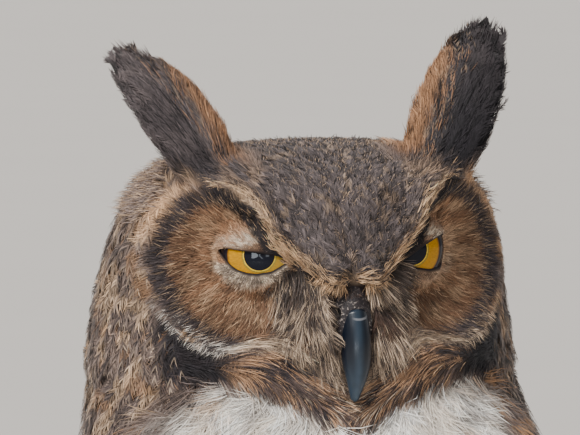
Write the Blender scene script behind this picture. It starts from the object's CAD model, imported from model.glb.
import math
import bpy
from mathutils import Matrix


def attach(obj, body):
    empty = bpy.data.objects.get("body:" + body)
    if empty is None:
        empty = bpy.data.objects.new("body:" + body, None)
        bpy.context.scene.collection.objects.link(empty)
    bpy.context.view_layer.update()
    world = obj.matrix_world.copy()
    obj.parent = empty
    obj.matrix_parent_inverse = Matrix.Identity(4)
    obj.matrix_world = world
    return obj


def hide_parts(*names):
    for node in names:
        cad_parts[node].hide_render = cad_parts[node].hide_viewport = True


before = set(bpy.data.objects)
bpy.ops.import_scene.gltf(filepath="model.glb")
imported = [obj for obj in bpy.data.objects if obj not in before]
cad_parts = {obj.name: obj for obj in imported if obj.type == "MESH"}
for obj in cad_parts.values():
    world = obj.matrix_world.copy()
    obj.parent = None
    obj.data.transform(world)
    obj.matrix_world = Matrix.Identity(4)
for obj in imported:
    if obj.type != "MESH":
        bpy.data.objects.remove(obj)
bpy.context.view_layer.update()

from types import SimpleNamespace

import bmesh
import bpy
import numpy as np
from mathutils import Matrix, Vector
from mathutils.bvhtree import BVHTree

bl_info = {
    "name": "Great Horned Owl",
    "version": (1, 0, 0),
    "blender": (4, 5, 0),
    "location": "3D View > Sidebar > Owl",
    "description": "Skin, plumage, eyes and bill of a great horned owl, life size",
    "category": "Object",
}

SIDES = {"left": 1, "right": -1}
MM = 0.001
TRIANGLE_LIMIT = 200000  # of one piece of plumage

# ---- the body's plan, the same as the solids' ----
EYE_LEVEL = 0.418
HEAD_YAW, HEAD_PITCH, HEAD_ROLL = math.radians(18), math.radians(5), math.radians(0.8)
TURN_FROM, TURN_TO = 0.300, 0.374  # heights between which the neck takes up the head's turn
NECK_PIVOT = np.array((0.0, 0.004, 0.374))
NECK_LEAN = np.array((-0.0055, 0.0, 0.0))
SHIFT = np.array((0.0, -0.0160273, 0.0))
EYE_RADIUS = 0.0150
EYE_OUT = 25.9  # distance of an eye's middle from the head's middle, in millimetres
EYE_CENTRE = (EYE_OUT * MM, -0.0200, EYE_LEVEL)
EYE_TURNS = {-1: math.radians(18.2), 1: math.radians(8.0)}  # outwards, by side
EYE_RISE = math.radians(6.3)
GAZE_SHIFT = {-1: 0.0, 1: 0.0014}  # how far the pupil sits towards the bill from the eye's axis
TUFT_PATH = np.array(((0.039, -0.012, 0.021), (0.0475, -0.011, 0.038), (0.060, 0.000, 0.059), (0.0710, 0.014, 0.0735)))
TUFT_LIFTS = {1: 0.0045, -1: -0.0025}
BILL_SECTIONS = (  # forward place, rise over eye level, half width, half height
    (-0.027, -0.008, 0.0082, 0.0096), (-0.0405, -0.0135, 0.0072, 0.0098), (-0.0500, -0.0250, 0.0064, 0.0078),
    (-0.0535, -0.0370, 0.0046, 0.0050), (-0.0520, -0.0485, 0.0014, 0.0014),
)
LOWER_BILL = ((-0.028, -0.0230, 0.0066, 0.0046), (-0.040, -0.0320, 0.0056, 0.0042), (-0.0470, -0.0400, 0.0026, 0.0020))
LEG_OUT = 0.037
TOES = (("inner", -24, 0.036), ("middle", 6, 0.041), ("outer", 68, 0.035), ("hind", 196, 0.026))
CLAW_SECTIONS = np.array(  # along the toe, height, radius
    ((-0.003, 0.009, 0.0034), (0.007, 0.012, 0.0033), (0.015, 0.0098, 0.0021), (0.0205, 0.0026, 0.0006))
)
CLAW_ROOT = 0.0066 * 0.4  # how far a claw starts beyond the end of its toe
FLESH = [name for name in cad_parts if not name.startswith(("eye_", "claw_", "cere", "bill_"))]
# the lid openings, in millimetres: towards the bill, and up, from the pupil's middle
LIDS = {
    -1: (
        ((-14.3, 2.2), (-9.5, 1.8), (-5.2, 1.2), (0.0, 0.6), (5.5, -0.1), (9.1, -0.9), (11.0, -1.6)),
        ((-13.2, -0.4), (-10.2, -3.6), (-7.6, -5.4), (-4.0, -6.4), (-0.6, -6.6), (4.4, -5.8), (8.9, -3.1)),
    ),
    1: (
        ((-14.4, 0.9), (-13.9, 3.6), (-11.2, 4.4), (-7.7, 3.3), (-3.9, 1.7), (0.0, -0.5), (4.2, -3.0), (6.7, -4.3)),
        ((-14.1, -2.3), (-13.0, -5.2), (-10.8, -7.0), (-5.4, -7.4), (0.0, -6.4)),
    ),
}
LID_MIDDLES = {-1: np.array((-1.6, -1.8)) * MM, 1: np.array((-5.0, -2.0)) * MM}
# the lid's rings: how far out from the edge of the opening, and how far off the eye, in millimetres
LID_RINGS = ((0.0, -0.1), (0.0, 0.35), (0.3, 0.75), (0.9, 1.0), (1.8, 1.1), (3.0, 1.0), (4.6, 0.5), (6.2, -0.4))
# the eye's front from its middle out: distance off its axis and ahead of its centre, in millimetres
EYE_FRONT = (
    (0.0, 16.2), (3.0, 16.0), (5.5, 15.6), (8.0, 14.85), (10.0, 14.0), (11.4, 13.2), (12.7, 11.8),
    (13.7, 9.8), (14.4, 7.2), (14.8, 4.4), (15.0, 2.0), (15.0, -1.0),
)
SKIN_DEPTHS = {  # how deep the skin lies under the outline of the plumage, in millimetres
    "neck": 4.0, "throat_bib": 4.5, "trunk": 5.0, "wing": 2.0, "tail": 0.8,
    "thigh": 2.8, "tarsus": 1.6, "foot": 0.9, "tuft": 1.0, "facial": 2.2,
}
BROW_EDGE = (  # the lower edge of the brow: out from the middle, up from eye level, in millimetres
    (0.0, -6.5), (7.5, -7.4), (13.0, -4.9), (21.0, 0.9), (27.0, 6.6), (31.0, 15.2), (33.8, 19.3), (44.2, 25.5),
    (60.0, 38.0),
)
BACK_LIMIT = 0.1285  # nothing of the wings or tail reaches further back
ROOT_DEPTH = 0.0004  # how deep the plumage starts in the skin
RISE_POWER = 0.75  # under one, a feather lifts off the skin more near its root than near its tip
BARE_TO, COVERED_FROM = 0.0004, 0.0070  # bare edge of the lids, and where their own short feathers end
LEAST_HEIGHT, LEAST_TIP_HEIGHT = 0.0012, 0.012  # of the feet's feathers and the flight feathers over the floor
BAR_SPACING = 0.016  # of the flight feathers' bars, down the bird

work = SimpleNamespace()


# ---- small tools for many points at once ----
def smooth(low, high, value):
    share = np.clip((value - low) / (high - low), 0.0, 1.0)
    return share * share * (3 - 2 * share)


def bell(*parts):
    """One where every part is nought, and falling away from there."""
    return np.exp(-sum(part**2 for part in parts))


def unit(vectors):
    return vectors / np.maximum(np.linalg.norm(vectors, axis=-1, keepdims=True), 1e-12)


def dot(a, b):
    return (a * b).sum(-1, keepdims=True)


def rows(*columns):
    """Vectors from their columns, of which some may be plain numbers."""
    return np.stack(np.broadcast_arrays(*columns), -1)


def mix(first, second, share):
    share = np.asarray(share)
    if share.ndim and share.ndim < np.ndim(second) or share.ndim == 1:
        share = share[..., None]
    return first * (1 - share) + second * share


def layered(base, *layers):
    """A base with further tones laid over it, each by its own share."""
    for tone, share in layers:
        base = mix(base, tone, share)
    return base


def noise(points, size, seed=0):
    """Smooth random values from 0 to 1 that change over about this size."""
    place = points / size + seed * 17.31
    cell = np.floor(place)
    part = place - cell
    part = part * part * (3 - 2 * part)
    total = 0.0
    for offset in np.ndindex(2, 2, 2):
        value = np.sin((cell + offset) @ (12.9898, 78.233, 37.719)) * 43758.5453
        x, y, z = (part[:, k] if offset[k] else 1 - part[:, k] for k in range(3))
        total = total + x * y * z * (value - np.floor(value))
    return total


def sampled(where, places, table):
    """Each column of a table, read between its places."""
    return np.stack([np.interp(where, places, table[:, i]) for i in range(table.shape[1])], 1)


def run_length(line):
    return np.concatenate(([0], np.cumsum(np.linalg.norm(np.diff(line, axis=0), axis=1))))


def eased(line, rounds):
    """A line with its inner points evened out."""
    for _ in range(rounds):
        line[1:-1] = (line[:-2] + 2 * line[1:-1] + line[2:]) / 4
    return line


def head_turn():
    turn = Matrix.Rotation(HEAD_YAW, 3, "Z") @ Matrix.Rotation(HEAD_PITCH, 3, "X")
    turn = (turn @ Matrix.Rotation(-HEAD_ROLL, 3, "Y")).to_quaternion()
    return np.array(turn.axis), turn.angle


TURN_AXIS, TURN_ANGLE = head_turn()


def turned(vectors, share):
    """Vectors turned by this share of the head's turn."""
    angle = (TURN_ANGLE * share)[:, None]
    along = vectors @ TURN_AXIS
    across = np.cross(np.broadcast_to(TURN_AXIS, vectors.shape), vectors)
    return vectors * np.cos(angle) + across * np.sin(angle) + TURN_AXIS * along[:, None] * (1 - np.cos(angle))


def posed(points, whole_head=False):
    """Carries points of the bird that looks straight ahead to where its neck turns them."""
    share = np.ones(len(points)) if whole_head else smooth(TURN_FROM, TURN_TO, points[:, 2])
    return NECK_PIVOT + NECK_LEAN * share[:, None] + turned(points - NECK_PIVOT, share) + SHIFT


def straightened(points):
    """The way back from posed."""
    there = points - SHIFT
    height = there[:, 2].copy()
    for _ in range(5):
        share = smooth(TURN_FROM, TURN_TO, height)
        back = NECK_PIVOT + turned(there - NECK_PIVOT - NECK_LEAN * share[:, None], -share)
        height = back[:, 2]
    return back


def only(piece):
    bpy.ops.object.select_all(action="DESELECT")
    piece.select_set(True)
    bpy.context.view_layer.objects.active = piece


def link(name, data):
    """A new object of this data in the scene."""
    piece = bpy.data.objects.new(name, data)
    bpy.context.scene.collection.objects.link(piece)
    return piece


def flat(values, kind=np.float32):
    return np.ascontiguousarray(values, kind).ravel()


def read(items, key, width, kind=np.float32):
    """One attribute of all items of a mesh, as rows."""
    values = np.empty(len(items) * width, kind)
    items.foreach_get(key, values)
    return values.reshape(-1, width)


def store_tint(mesh, colours):
    rgba = np.concatenate([colours, np.ones((len(colours), 1))], 1)
    mesh.color_attributes.new("tint", "FLOAT_COLOR", "POINT").data.foreach_set("color", flat(rgba))


def store_vectors(mesh, name, vectors):
    mesh.attributes.new(name, "FLOAT_VECTOR", "POINT").data.foreach_set("vector", flat(vectors))


def mesh_from(name, points, faces, material):
    """A smooth mesh object from arrays. faces is a list of arrays, each of one kind of face."""
    mesh = bpy.data.meshes.new(name)
    corners = np.concatenate([f.ravel() for f in faces]).astype(np.int32)
    sizes = np.concatenate([np.full(len(f), f.shape[1]) for f in faces])
    starts = np.concatenate(([0], np.cumsum(sizes)[:-1])).astype(np.int32)
    mesh.vertices.add(len(points))
    mesh.vertices.foreach_set("co", flat(points))
    mesh.loops.add(len(corners))
    mesh.loops.foreach_set("vertex_index", corners)
    mesh.polygons.add(len(starts))
    mesh.polygons.foreach_set("loop_start", starts)
    mesh.polygons.foreach_set("use_smooth", np.ones(len(starts), bool))
    mesh.update(calc_edges=True)
    mesh.materials.append(material)
    return link(name, mesh), corners


def band(rings, around, start=0):
    """Quads between closed rings of points, which follow one another from the start index."""
    i = np.arange(around)
    j = (i + 1) % around
    row = (np.arange(rings - 1) * around + start)[:, None]
    return np.stack([row + i, row + j, row + around + j, row + around + i], -1).reshape(-1, 4)


def caps(rings, around):
    """Triangles that close the first and last ring on the first and last point."""
    i = np.arange(around)
    j = (i + 1) % around
    end = 1 + (rings - 1) * around
    return np.concatenate([rows(0, 1 + j, 1 + i), rows(end + i, end + j, end + around)])


def settle(piece, slot, *nodes):
    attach(piece, "root")
    if nodes:
        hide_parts(*nodes)


# ---- shader trees ----
class Value:
    """An output of a shader node, which sums and products can be made of."""

    def __init__(self, tree, socket):
        self.tree, self.socket = tree, socket

    def math(self, operation, *inputs):
        inputs = {f"i{k}": value for k, value in enumerate(inputs)}
        return self.tree.add("Math", {"operation": operation}, **inputs)[0]

    def __add__(self, other):
        return self.math("ADD", self, other)

    def __sub__(self, other):
        return self.math("SUBTRACT", self, other)

    def __rsub__(self, other):
        return self.math("SUBTRACT", other, self)

    def __mul__(self, other):
        return self.math("MULTIPLY", self, other)

    def __truediv__(self, other):
        return self.math("DIVIDE", self, other)

    def __pow__(self, other):
        return self.math("POWER", self, other)

    def __abs__(self):
        return self.math("ABSOLUTE", self)

    def wave(self):
        """A sine of full turns, from 0 to 1."""
        turns = self * 6.2832
        return turns.math("SINE", turns) * 0.5 + 0.5

    def larger(self, other):
        return self.math("MAXIMUM", self, other)

    def ranged(self, low, high, first=0.0, last=1.0, soft=False):
        """Carries low to first and high to last, and stops there."""
        node = self.tree.new("MapRange", {"interpolation_type": "SMOOTHSTEP" if soft else "LINEAR"}, Value=self)
        for key, value in (("From Min", low), ("From Max", high), ("To Min", first), ("To Max", last)):
            self.tree.plug(node.inputs[key], value)
        return Value(self.tree, node.outputs[0])

    def split(self):
        return self.tree.add("SeparateXYZ", Vector=self)

    def vector(self, operation, *inputs):
        inputs = {f"i{k + 1}": value for k, value in enumerate(inputs)}
        return self.tree.add("VectorMath", {"operation": operation}, i0=self, **inputs)

    def scaled(self, value):
        """A colour made lighter and darker by a value near one."""
        return self.tree.add("VectorMath", {"operation": "SCALE"}, i0=self, Scale=value)[0]


class Tree:
    """A node tree with short words for the nodes that the materials use."""

    def __init__(self, tree, shader=None):
        self.tree, self.shader = tree, shader

    def plug(self, socket, value):
        if isinstance(value, Value):
            self.tree.links.new(value.socket, socket)
        elif socket.type == "RGBA" and len(value) == 3:
            socket.default_value = (*value, 1)
        else:
            socket.default_value = value

    def new(self, kind, settings=None, **inputs):
        """A node with its settings, and its inputs either set or linked."""
        node = self.tree.nodes.new("ShaderNode" + kind)
        for key, value in (settings or {}).items():
            setattr(node, key, value)
        for key, value in inputs.items():
            numbered = key[0] == "i" and key[1:].isdigit()
            self.plug(node.inputs[int(key[1:]) if numbered else key.replace("_", " ")], value)
        return node

    def add(self, kind, settings=None, **inputs):
        return [Value(self, socket) for socket in self.new(kind, settings, **inputs).outputs]

    def noise(self, place, scale, detail=2.0, rough=0.5):
        return self.add("TexNoise", Vector=place, Scale=scale, Detail=detail, Roughness=rough)[0]

    def attribute(self, name, output="Color"):
        return Value(self, self.new("Attribute", {"attribute_name": name}).outputs[output])

    def mixed(self, factor, first, second):
        return self.add("Mix", {"data_type": "RGBA"}, i0=factor, i6=first, i7=second)[2]

    def ramp(self, factor, *stops):
        node = self.new("ValToRGB", i0=factor)
        elements = node.color_ramp.elements
        for element, (place, colour) in zip(elements, (stops[0], stops[-1])):
            element.position, element.color = place, (*colour, 1)
        for place, colour in stops[1:-1]:
            elements.new(place).color = (*colour, 1)
        return Value(self, node.outputs[0])

    def set(self, **inputs):
        """Sets or links the shader's inputs."""
        for key, value in inputs.items():
            self.plug(self.shader.inputs[key.replace("_", " ")], value)

    def bump(self, height, strength, distance):
        self.set(Normal=self.add("Bump", Strength=strength, Distance=distance, Height=height)[0])


def new_group(name, inputs, outputs, build):
    """A group with these named sockets; build makes its outputs from its inputs."""
    group = bpy.data.node_groups.new(name, "ShaderNodeTree")
    for label, default in inputs.items():
        kind = "NodeSocketVector" if default is None else "NodeSocketFloat"
        socket = group.interface.new_socket(name=label, in_out="INPUT", socket_type=kind)
        if default is not None:
            socket.default_value = default
    for label in outputs:
        group.interface.new_socket(name=label, in_out="OUTPUT", socket_type="NodeSocketFloat")
    tree = Tree(group)
    start, end = group.nodes.new("NodeGroupInput"), group.nodes.new("NodeGroupOutput")
    made = build(tree, *(Value(tree, socket) for socket in start.outputs[: len(inputs)]))
    for socket, value in zip(end.inputs, made):
        tree.plug(socket, value)
    return group


def mottle(tree, place, size, depth):
    """Fine uneven light and dark, as barbs give a coat."""
    fine, broad = tree.noise(place, size, 4.0, 0.6), tree.noise(place, size * 0.16)
    return (fine + broad * 0.8 - 0.9) * depth + 1.0, fine


def barbs(tree, vane, count, slant):
    """The fine slanting barbs of a vane, from its own across and along coordinates."""
    across, along, _ = vane.split()
    off_shaft = abs(across)
    phase = (along - off_shaft * (slant * 0.5)) * count + tree.noise(vane, 9.0) * 2.5
    return phase.wave(), off_shaft.ranged(0.035, 0.075, 1.0, 0.0)


def bars(tree, vane, place, count, width, freckle):
    """Dark wavering bars across a vane, with fine freckles between them."""
    across, along, start = vane.split()
    offset = start + tree.noise(place, 260.0, 3.0) * 0.55
    wave = ((along - abs(across) ** 2.0 * 0.10) * count + offset).wave()
    bar = wave.ranged(1.0 - width, 1.0 - width + 0.18, soft=True)
    spots = tree.noise(place, 1150.0, 3.0, 0.7).ranged(0.53, 0.62)
    return (bar.larger(spots * freckle),)


def shared_groups():
    settings = {"Vector": None, "Size": 900.0, "Depth": 0.3}
    work.mottle = new_group("feather_mottle", settings, ("Value", "Height"), mottle)
    work.barbs = new_group("vane_barbs", {"Vane": None, "Count": 60.0, "Slant": 0.45}, ("Value", "Shaft"), barbs)
    settings = {"Vane": None, "Position": None, "Bars": 4.0, "Width": 0.35, "Freckle": 0.4}
    work.bars = new_group("vane_bars", settings, ("Mask",), bars)


def new_material(name, roughness, specular=0.5, sheen=0.0):
    """A material with its shader's constant values set on the shader itself."""
    material = bpy.data.materials.new(name)
    material.use_nodes = True
    shader = material.node_tree.nodes["Principled BSDF"]
    shader.inputs["Roughness"].default_value = roughness
    shader.inputs["Specular IOR Level"].default_value = specular
    if sheen:
        shader.inputs["Sheen Weight"].default_value = sheen
        shader.inputs["Sheen Roughness"].default_value = 0.5
    tree = Tree(material.node_tree, shader)
    return material, tree, Value(tree, tree.new("TexCoord").outputs["Object"])


def coat_material(name, roughness=0.72, sheen=0.12, depth=0.35, size=1400.0):
    """Loose barbs: the piece's own tint, freckled finely."""
    material, tree, place = new_material(name, roughness, 0.28, sheen)
    value, height = tree.add("Group", {"node_tree": work.mottle}, Vector=place, Size=size, Depth=depth)
    tree.set(Base_Color=tree.attribute("tint").scaled(value))
    tree.bump(height, 0.25, 0.0002)
    return material


def vane_material(name, count, width, dark, freckle=0.4, barb_count=60.0):
    """A whole feather: tint, dark bars, slanting barbs and a dark shaft."""
    material, tree, place = new_material(name, 0.62, 0.32, 0.08)
    vane = tree.attribute("vane", "Vector")
    settings = {"Vane": vane, "Position": place, "Bars": count, "Width": width, "Freckle": freckle}
    mask = tree.add("Group", {"node_tree": work.bars}, **settings)[0]
    barb, shaft = tree.add("Group", {"node_tree": work.barbs}, Vane=vane, Count=barb_count)
    value = tree.add("Group", {"node_tree": work.mottle}, Vector=place, Size=900.0, Depth=0.35)[0]
    barred = tree.mixed(mask, tree.attribute("tint").scaled(value), dark)
    tree.set(Base_Color=tree.mixed(shaft * 0.5, barred.scaled(barb * 0.22 + 0.88), dark))
    tree.bump(barb, 0.35, 0.0003)
    return material


# ---- settings ----
def srgb(*values):
    """Linear light of a colour given as it shows on a screen, 0 to 255."""
    values = [v / 255 for v in values]
    return tuple(v / 12.92 if v <= 0.04045 else ((v + 0.055) / 1.055) ** 2.4 for v in values)


def colour(label, text, *default):
    return bpy.props.FloatVectorProperty(
        name=label, description=text, default=srgb(*default), subtype="COLOR", size=3, min=0, max=1
    )


def number(label, text, default, low=0.0, **more):
    return bpy.props.FloatProperty(name=label, description=text, default=default, min=low, **more)


def length(label, text, default):
    return number(label, text, default, unit="LENGTH", subtype="DISTANCE", precision=4)


class OwlStage(bpy.types.PropertyGroup):
    floor_size: length("Floor", "Side of the pale floor", 60.0)
    floor_colour: colour("Floor colour", "Colour of the floor", 205, 200, 194)
    view_width: length("View width", "Width that the view takes in at the head", 0.207)
    camera_distance: length("Camera distance", "How far the camera stands from the head", 2.5)
    elevation: bpy.props.FloatProperty(
        name="Elevation", description="How far above level the camera looks from", default=math.radians(4),
        subtype="ANGLE",
    )
    key_power: number("Key light", "Strength of the broad soft light from above", 5.0)
    fill_power: number("Window light", "Strength of the window panes near the camera", 1.0)
    sky: number("Surround", "Strength of the even light from all round", 0.36)


class OwlPlumage(bpy.types.PropertyGroup):
    crown: colour("Crown", "Grey-brown of the crown", 93, 83, 82)
    crown_dark: colour("Crown bars", "Dark vermiculation and shafts of the crown", 44, 38, 41)
    buff: colour("Buff", "Pale edge of the brows and the feather tips", 212, 178, 142)
    rufous: colour("Rufous", "Facial discs", 157, 116, 85)
    umber: colour("Umber", "Darker streaks in the discs", 80, 58, 44)
    rim: colour("Rim", "Dark border of the discs and the tufts", 38, 34, 39)
    white: colour("White", "Bib and the line under the discs", 246, 241, 233)
    cream: colour("Cream", "Feathers round the eyes and over the ruff", 222, 204, 182)
    bristle: colour("Bristles", "Bristles beside the bill", 188, 168, 148)
    ochre: colour("Ochre", "Warm bases of the neck and breast feathers", 182, 132, 80)
    orange: colour("Orange shafts", "Bare shafts of the ruff", 198, 154, 116)
    neck: colour("Neck", "Mottled neck and back", 126, 108, 98)
    breast: colour("Breast", "Ground of the breast and belly", 206, 184, 156)
    wing: colour("Wing", "Ground of the wings", 150, 126, 104)
    leg: colour("Leg", "Legs and feet", 214, 194, 164)
    quick_share: number("Quick share", "Share of the plumage made while trying things out", 0.4, 0.05, max=1)


class OwlEyes(bpy.types.PropertyGroup):
    iris_radius: length("Iris", "Radius of the iris", 0.0114)
    pupil_radius: length("Pupil", "Radius of the pupil", 0.0055)
    iris: colour("Iris colour", "Golden yellow of the iris", 178, 126, 2)
    lid: colour("Lid edge", "Bare edge of the lids", 26, 20, 22)


class OwlHorn(bpy.types.PropertyGroup):
    bill: colour("Bill", "Slate black of the bill and claws", 17, 24, 36)
    cere: colour("Cere", "Bare skin over the bill", 42, 34, 37)


def tones():
    """The plumage's colours by name, as arrays."""
    tone = bpy.context.scene.owl_plumage
    return SimpleNamespace(**{name: np.array(getattr(tone, name)) for name in OwlPlumage.__annotations__})


# ---- the stage ----
class OWL_OT_stage(bpy.types.Operator):
    """Adds the pale floor, the soft lights and the camera"""

    bl_idname = "owl.stage"
    bl_label = "Stage"

    def execute(self, context):
        settings = context.scene.owl_stage
        bpy.ops.object.select_all(action="DESELECT")
        bpy.ops.mesh.primitive_plane_add(size=settings.floor_size)
        floor = context.object
        floor.name = floor.data.name = "floor"
        material, tree, place = new_material("pale_floor", 0.75, 0.3)
        base = tuple(settings.floor_colour)
        grain = tree.noise(place, 3.0, 3.0)
        tree.set(Base_Color=tree.ramp(grain, (0.3, tuple(c * 0.985 for c in base)), (0.7, base)))
        floor.data.materials.append(material)

        world = bpy.data.worlds.new("soft_surround")
        world.use_nodes = True
        world.node_tree.nodes["Background"].inputs[0].default_value = (0.95, 0.97, 1.0, 1)
        world.node_tree.nodes["Background"].inputs[1].default_value = settings.sky
        context.scene.world = world

        def aimed(name, data, place, way):
            holder = link(name, data)
            holder.location = place
            holder.rotation_euler = way.to_track_quat("-Z", "Y").to_euler()
            return holder

        aim = Vector((-0.01129, -0.04777, 0.42816))
        sun = bpy.data.lights.new("key", "SUN")
        sun.energy, sun.angle, sun.color = settings.key_power, math.radians(18), (1.0, 0.975, 0.94)
        aimed("key", sun, (0, 0, 0), Vector((0.80, 1.0, -1.30)))
        daylight, warm = (0.86, 0.93, 1.0), (1.0, 0.98, 0.95)
        for name, place, size, share, tone in (
            ("pane_left", (-0.38, -2.2, 0.34), (0.22, 0.34), 4.2, daylight),
            ("pane_middle", (0.02, -2.2, 0.41), (0.22, 0.18), 2.0, daylight),
            ("pane_low", (0.06, -2.2, 0.16), (0.26, 0.12), 1.0, daylight),
            ("pane_right", (0.44, -2.2, 0.40), (0.20, 0.28), 1.2, daylight),
            ("rim", (1.3, 1.1, 1.1), (0.8, 0.8), 5.0, warm),
        ):
            lamp = bpy.data.lights.new(name, "AREA")
            lamp.shape = "RECTANGLE"
            lamp.size, lamp.size_y = size
            lamp.energy, lamp.color = settings.fill_power * share, tone
            aimed(name, lamp, place, aim - Vector(place))

        lens = bpy.data.cameras.new("camera")
        lens.sensor_width = 36.0
        lens.lens = lens.sensor_width * settings.camera_distance / settings.view_width
        lens.clip_start, lens.clip_end = 0.05, 200.0
        forward = Vector((0, math.cos(settings.elevation), -math.sin(settings.elevation)))
        context.scene.camera = aimed("camera", lens, aim - forward * settings.camera_distance, forward)
        return {"FINISHED"}


# ---- eyes and lids ----
def eye_axes(side):
    """The eye's middle, and its directions ahead, towards the bill and up."""
    turn = Matrix.Rotation(side * EYE_TURNS[side], 3, "Z") @ Matrix.Rotation(-EYE_RISE, 3, "X")
    ways = (np.array(turn @ Vector(way)) for way in ((0, -1, 0), (-side, 0, 0), (0, 0, 1)))
    return np.array((side * EYE_CENTRE[0], *EYE_CENTRE[1:])), *ways


def lid_curve(side, count=128):
    """The closed edge of the lid opening, in metres, from the outer corner over the top."""
    upper, lower = (np.array(line) for line in LIDS[side])
    closed = np.concatenate([upper, lower[::-1], upper[:1]])
    steps = run_length(closed)
    curve = sampled(np.linspace(0, steps[-1], count, endpoint=False), steps, closed)
    for _ in range(3):
        curve = (np.roll(curve, 1, 0) + 2 * curve + np.roll(curve, -1, 0)) / 4
    return curve * MM


def eye_profile():
    """The eye's front as many points, with the length along it, in metres."""
    rough = np.array(EYE_FRONT) * MM
    fine = eased(sampled(np.linspace(0, len(rough) - 1, 89), np.arange(len(rough)), rough), 12)
    return fine, run_length(fine)


def over_eye(side, plan, lift):
    """Points over the eyeball at these plan places, lifted off its surface."""
    centre, ahead, inward, up = eye_axes(side)
    fine, steps = eye_profile()
    away = np.linalg.norm(plan, axis=1)
    edge = 0.0142
    along = np.interp(np.minimum(away, edge), fine[:, 0], steps) + np.maximum(away - edge, 0) * 1.5
    slope = np.gradient(fine, axis=0)
    slope = slope / np.linalg.norm(slope, axis=1, keepdims=True)
    off, reach, rise, fall = sampled(along, steps, np.concatenate([fine, slope], 1)).T
    off, reach = off - fall * lift, reach + rise * lift
    way = plan / np.maximum(away, 1e-9)[:, None]
    return centre + (way[:, :1] * inward + way[:, 1:] * up) * off[:, None] + ahead * reach[:, None]


def eye_plan(side, points):
    """Places of points across the eye, and how far ahead of its middle they are."""
    centre, ahead, inward, up = eye_axes(side)
    offset = points - centre
    return rows(offset @ inward, offset @ up), offset @ ahead


def beyond_lid(plan, side):
    """How far plan places lie outside the edge of the lid opening."""
    spoke = lid_curve(side) - LID_MIDDLES[side]
    angles = np.arctan2(spoke[:, 1], spoke[:, 0])
    order = np.argsort(angles)
    there = plan - LID_MIDDLES[side]
    edge = np.linalg.norm(spoke, axis=1)[order]
    edge = np.interp(np.arctan2(there[:, 1], there[:, 0]), angles[order], edge, period=2 * math.pi)
    return np.linalg.norm(there, axis=1) - edge


def lid_rings(side):
    """The lid's own fine skin: rings from the edge of the opening outwards."""
    curve = lid_curve(side)
    spokes = unit(curve - LID_MIDDLES[side])
    points = [over_eye(side, curve + spokes * out * MM, np.full(len(curve), lift * MM)) for out, lift in LID_RINGS]
    faces = band(len(LID_RINGS), len(curve))
    return np.concatenate(points), faces[:, ::-1] if side > 0 else faces


def lid_clear(points):
    """How far outside the lid openings points lie, large where they are nowhere near an eye."""
    clear = np.full(len(points), 0.05)
    for side in (1, -1):
        plan, ahead = eye_plan(side, points)
        near = (points[:, 0] * side > 0) & (ahead > 0) & (np.linalg.norm(plan, axis=1) < 0.03)
        clear[near] = beyond_lid(plan[near], side)
    return clear


# ---- the skin ----
def coat_depth(labels):
    """How deep the skin lies under the outline of the plumage."""
    depth = np.full(len(labels), 2.2)
    for key, value in SKIN_DEPTHS.items():
        depth[[label.startswith(key) for label in labels]] = value
    return depth[:, None] * MM


def relax(values, edges, rounds):
    """Evens values out over a mesh's edges."""
    count = len(values)
    degree = np.bincount(edges.ravel(), minlength=count).astype(float)
    for _ in range(rounds):
        total = [
            np.bincount(edges[:, 0], column[edges[:, 1]], count) + np.bincount(edges[:, 1], column[edges[:, 0]], count)
            for column in values.T
        ]
        values = values * 0.5 + np.stack(total, 1) / np.maximum(degree, 1)[:, None] * 0.5
    return values


def solids_copy(names):
    """One mesh object of copies of CAD nodes."""
    joined = bmesh.new()
    for name in names:
        joined.from_mesh(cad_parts[name].data)
    bmesh.ops.remove_doubles(joined, verts=joined.verts, dist=1e-6)
    mesh = bpy.data.meshes.new("skin")
    joined.to_mesh(mesh)
    joined.free()
    return link("skin", mesh)


def nearest_nodes(points):
    """The CAD node that each point is nearest to."""
    corners, faces, owners = [], [], []
    for name in FLESH:
        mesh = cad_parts[name].data
        start = len(corners)
        corners.extend(tuple(v.co) for v in mesh.vertices)
        faces.extend(tuple(start + i for i in p.vertices) for p in mesh.polygons)
        owners.extend([name] * len(mesh.polygons))
    tree = BVHTree.FromPolygons(corners, faces)
    return [owners[tree.find_nearest(p)[2]] for p in points]


def drop_inner_shells(shell):
    """Removes all of a mesh but its largest island."""
    islands, seen = [], set()
    for vert in shell.verts:
        if vert in seen:
            continue
        island, stack = [], [vert]
        seen.add(vert)
        while stack:
            here = stack.pop()
            island.append(here)
            fresh = {edge.other_vert(here) for edge in here.link_edges} - seen
            seen |= fresh
            stack.extend(fresh)
        islands.append(island)
    islands.sort(key=len)
    bmesh.ops.delete(shell, geom=[v for island in islands[:-1] for v in island], context="VERTS")
    shell.verts.index_update()


def shape_face(points):
    """Adds the brow's fold, fits the skin over the eyes and says which points the lids take away."""
    out, ahead, up, _ = head_place(points)
    over = over_brow(out, up)
    fold = smooth(-2.2, 0.0, over) * smooth(9.0, 2.5, over) * smooth(1, 8, out) * smooth(40, 30, out) * (ahead < -5)
    points = points + fold[:, None] * np.array((0.0, -0.0036, -0.0006))
    kept = np.ones(len(points), bool)
    fine, _ = eye_profile()
    for side in (1, -1):
        centre, forward = eye_axes(side)[:2]
        plan, ahead = eye_plan(side, points)
        away = np.linalg.norm(plan, axis=1)
        surface = np.interp(away, fine[:, 0], fine[:, 1]) + 0.0005
        near = (away < EYE_RADIUS) & (ahead > -0.002) & (ahead < surface)
        points[near] += forward * (surface - ahead)[near, None]
        plan, ahead = eye_plan(side, points)
        close = np.linalg.norm(points - centre, axis=1) < 0.0195
        kept &= ~((beyond_lid(plan, side) < 0.0010) & (ahead > 0.0065) & close)
    return points, kept


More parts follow.
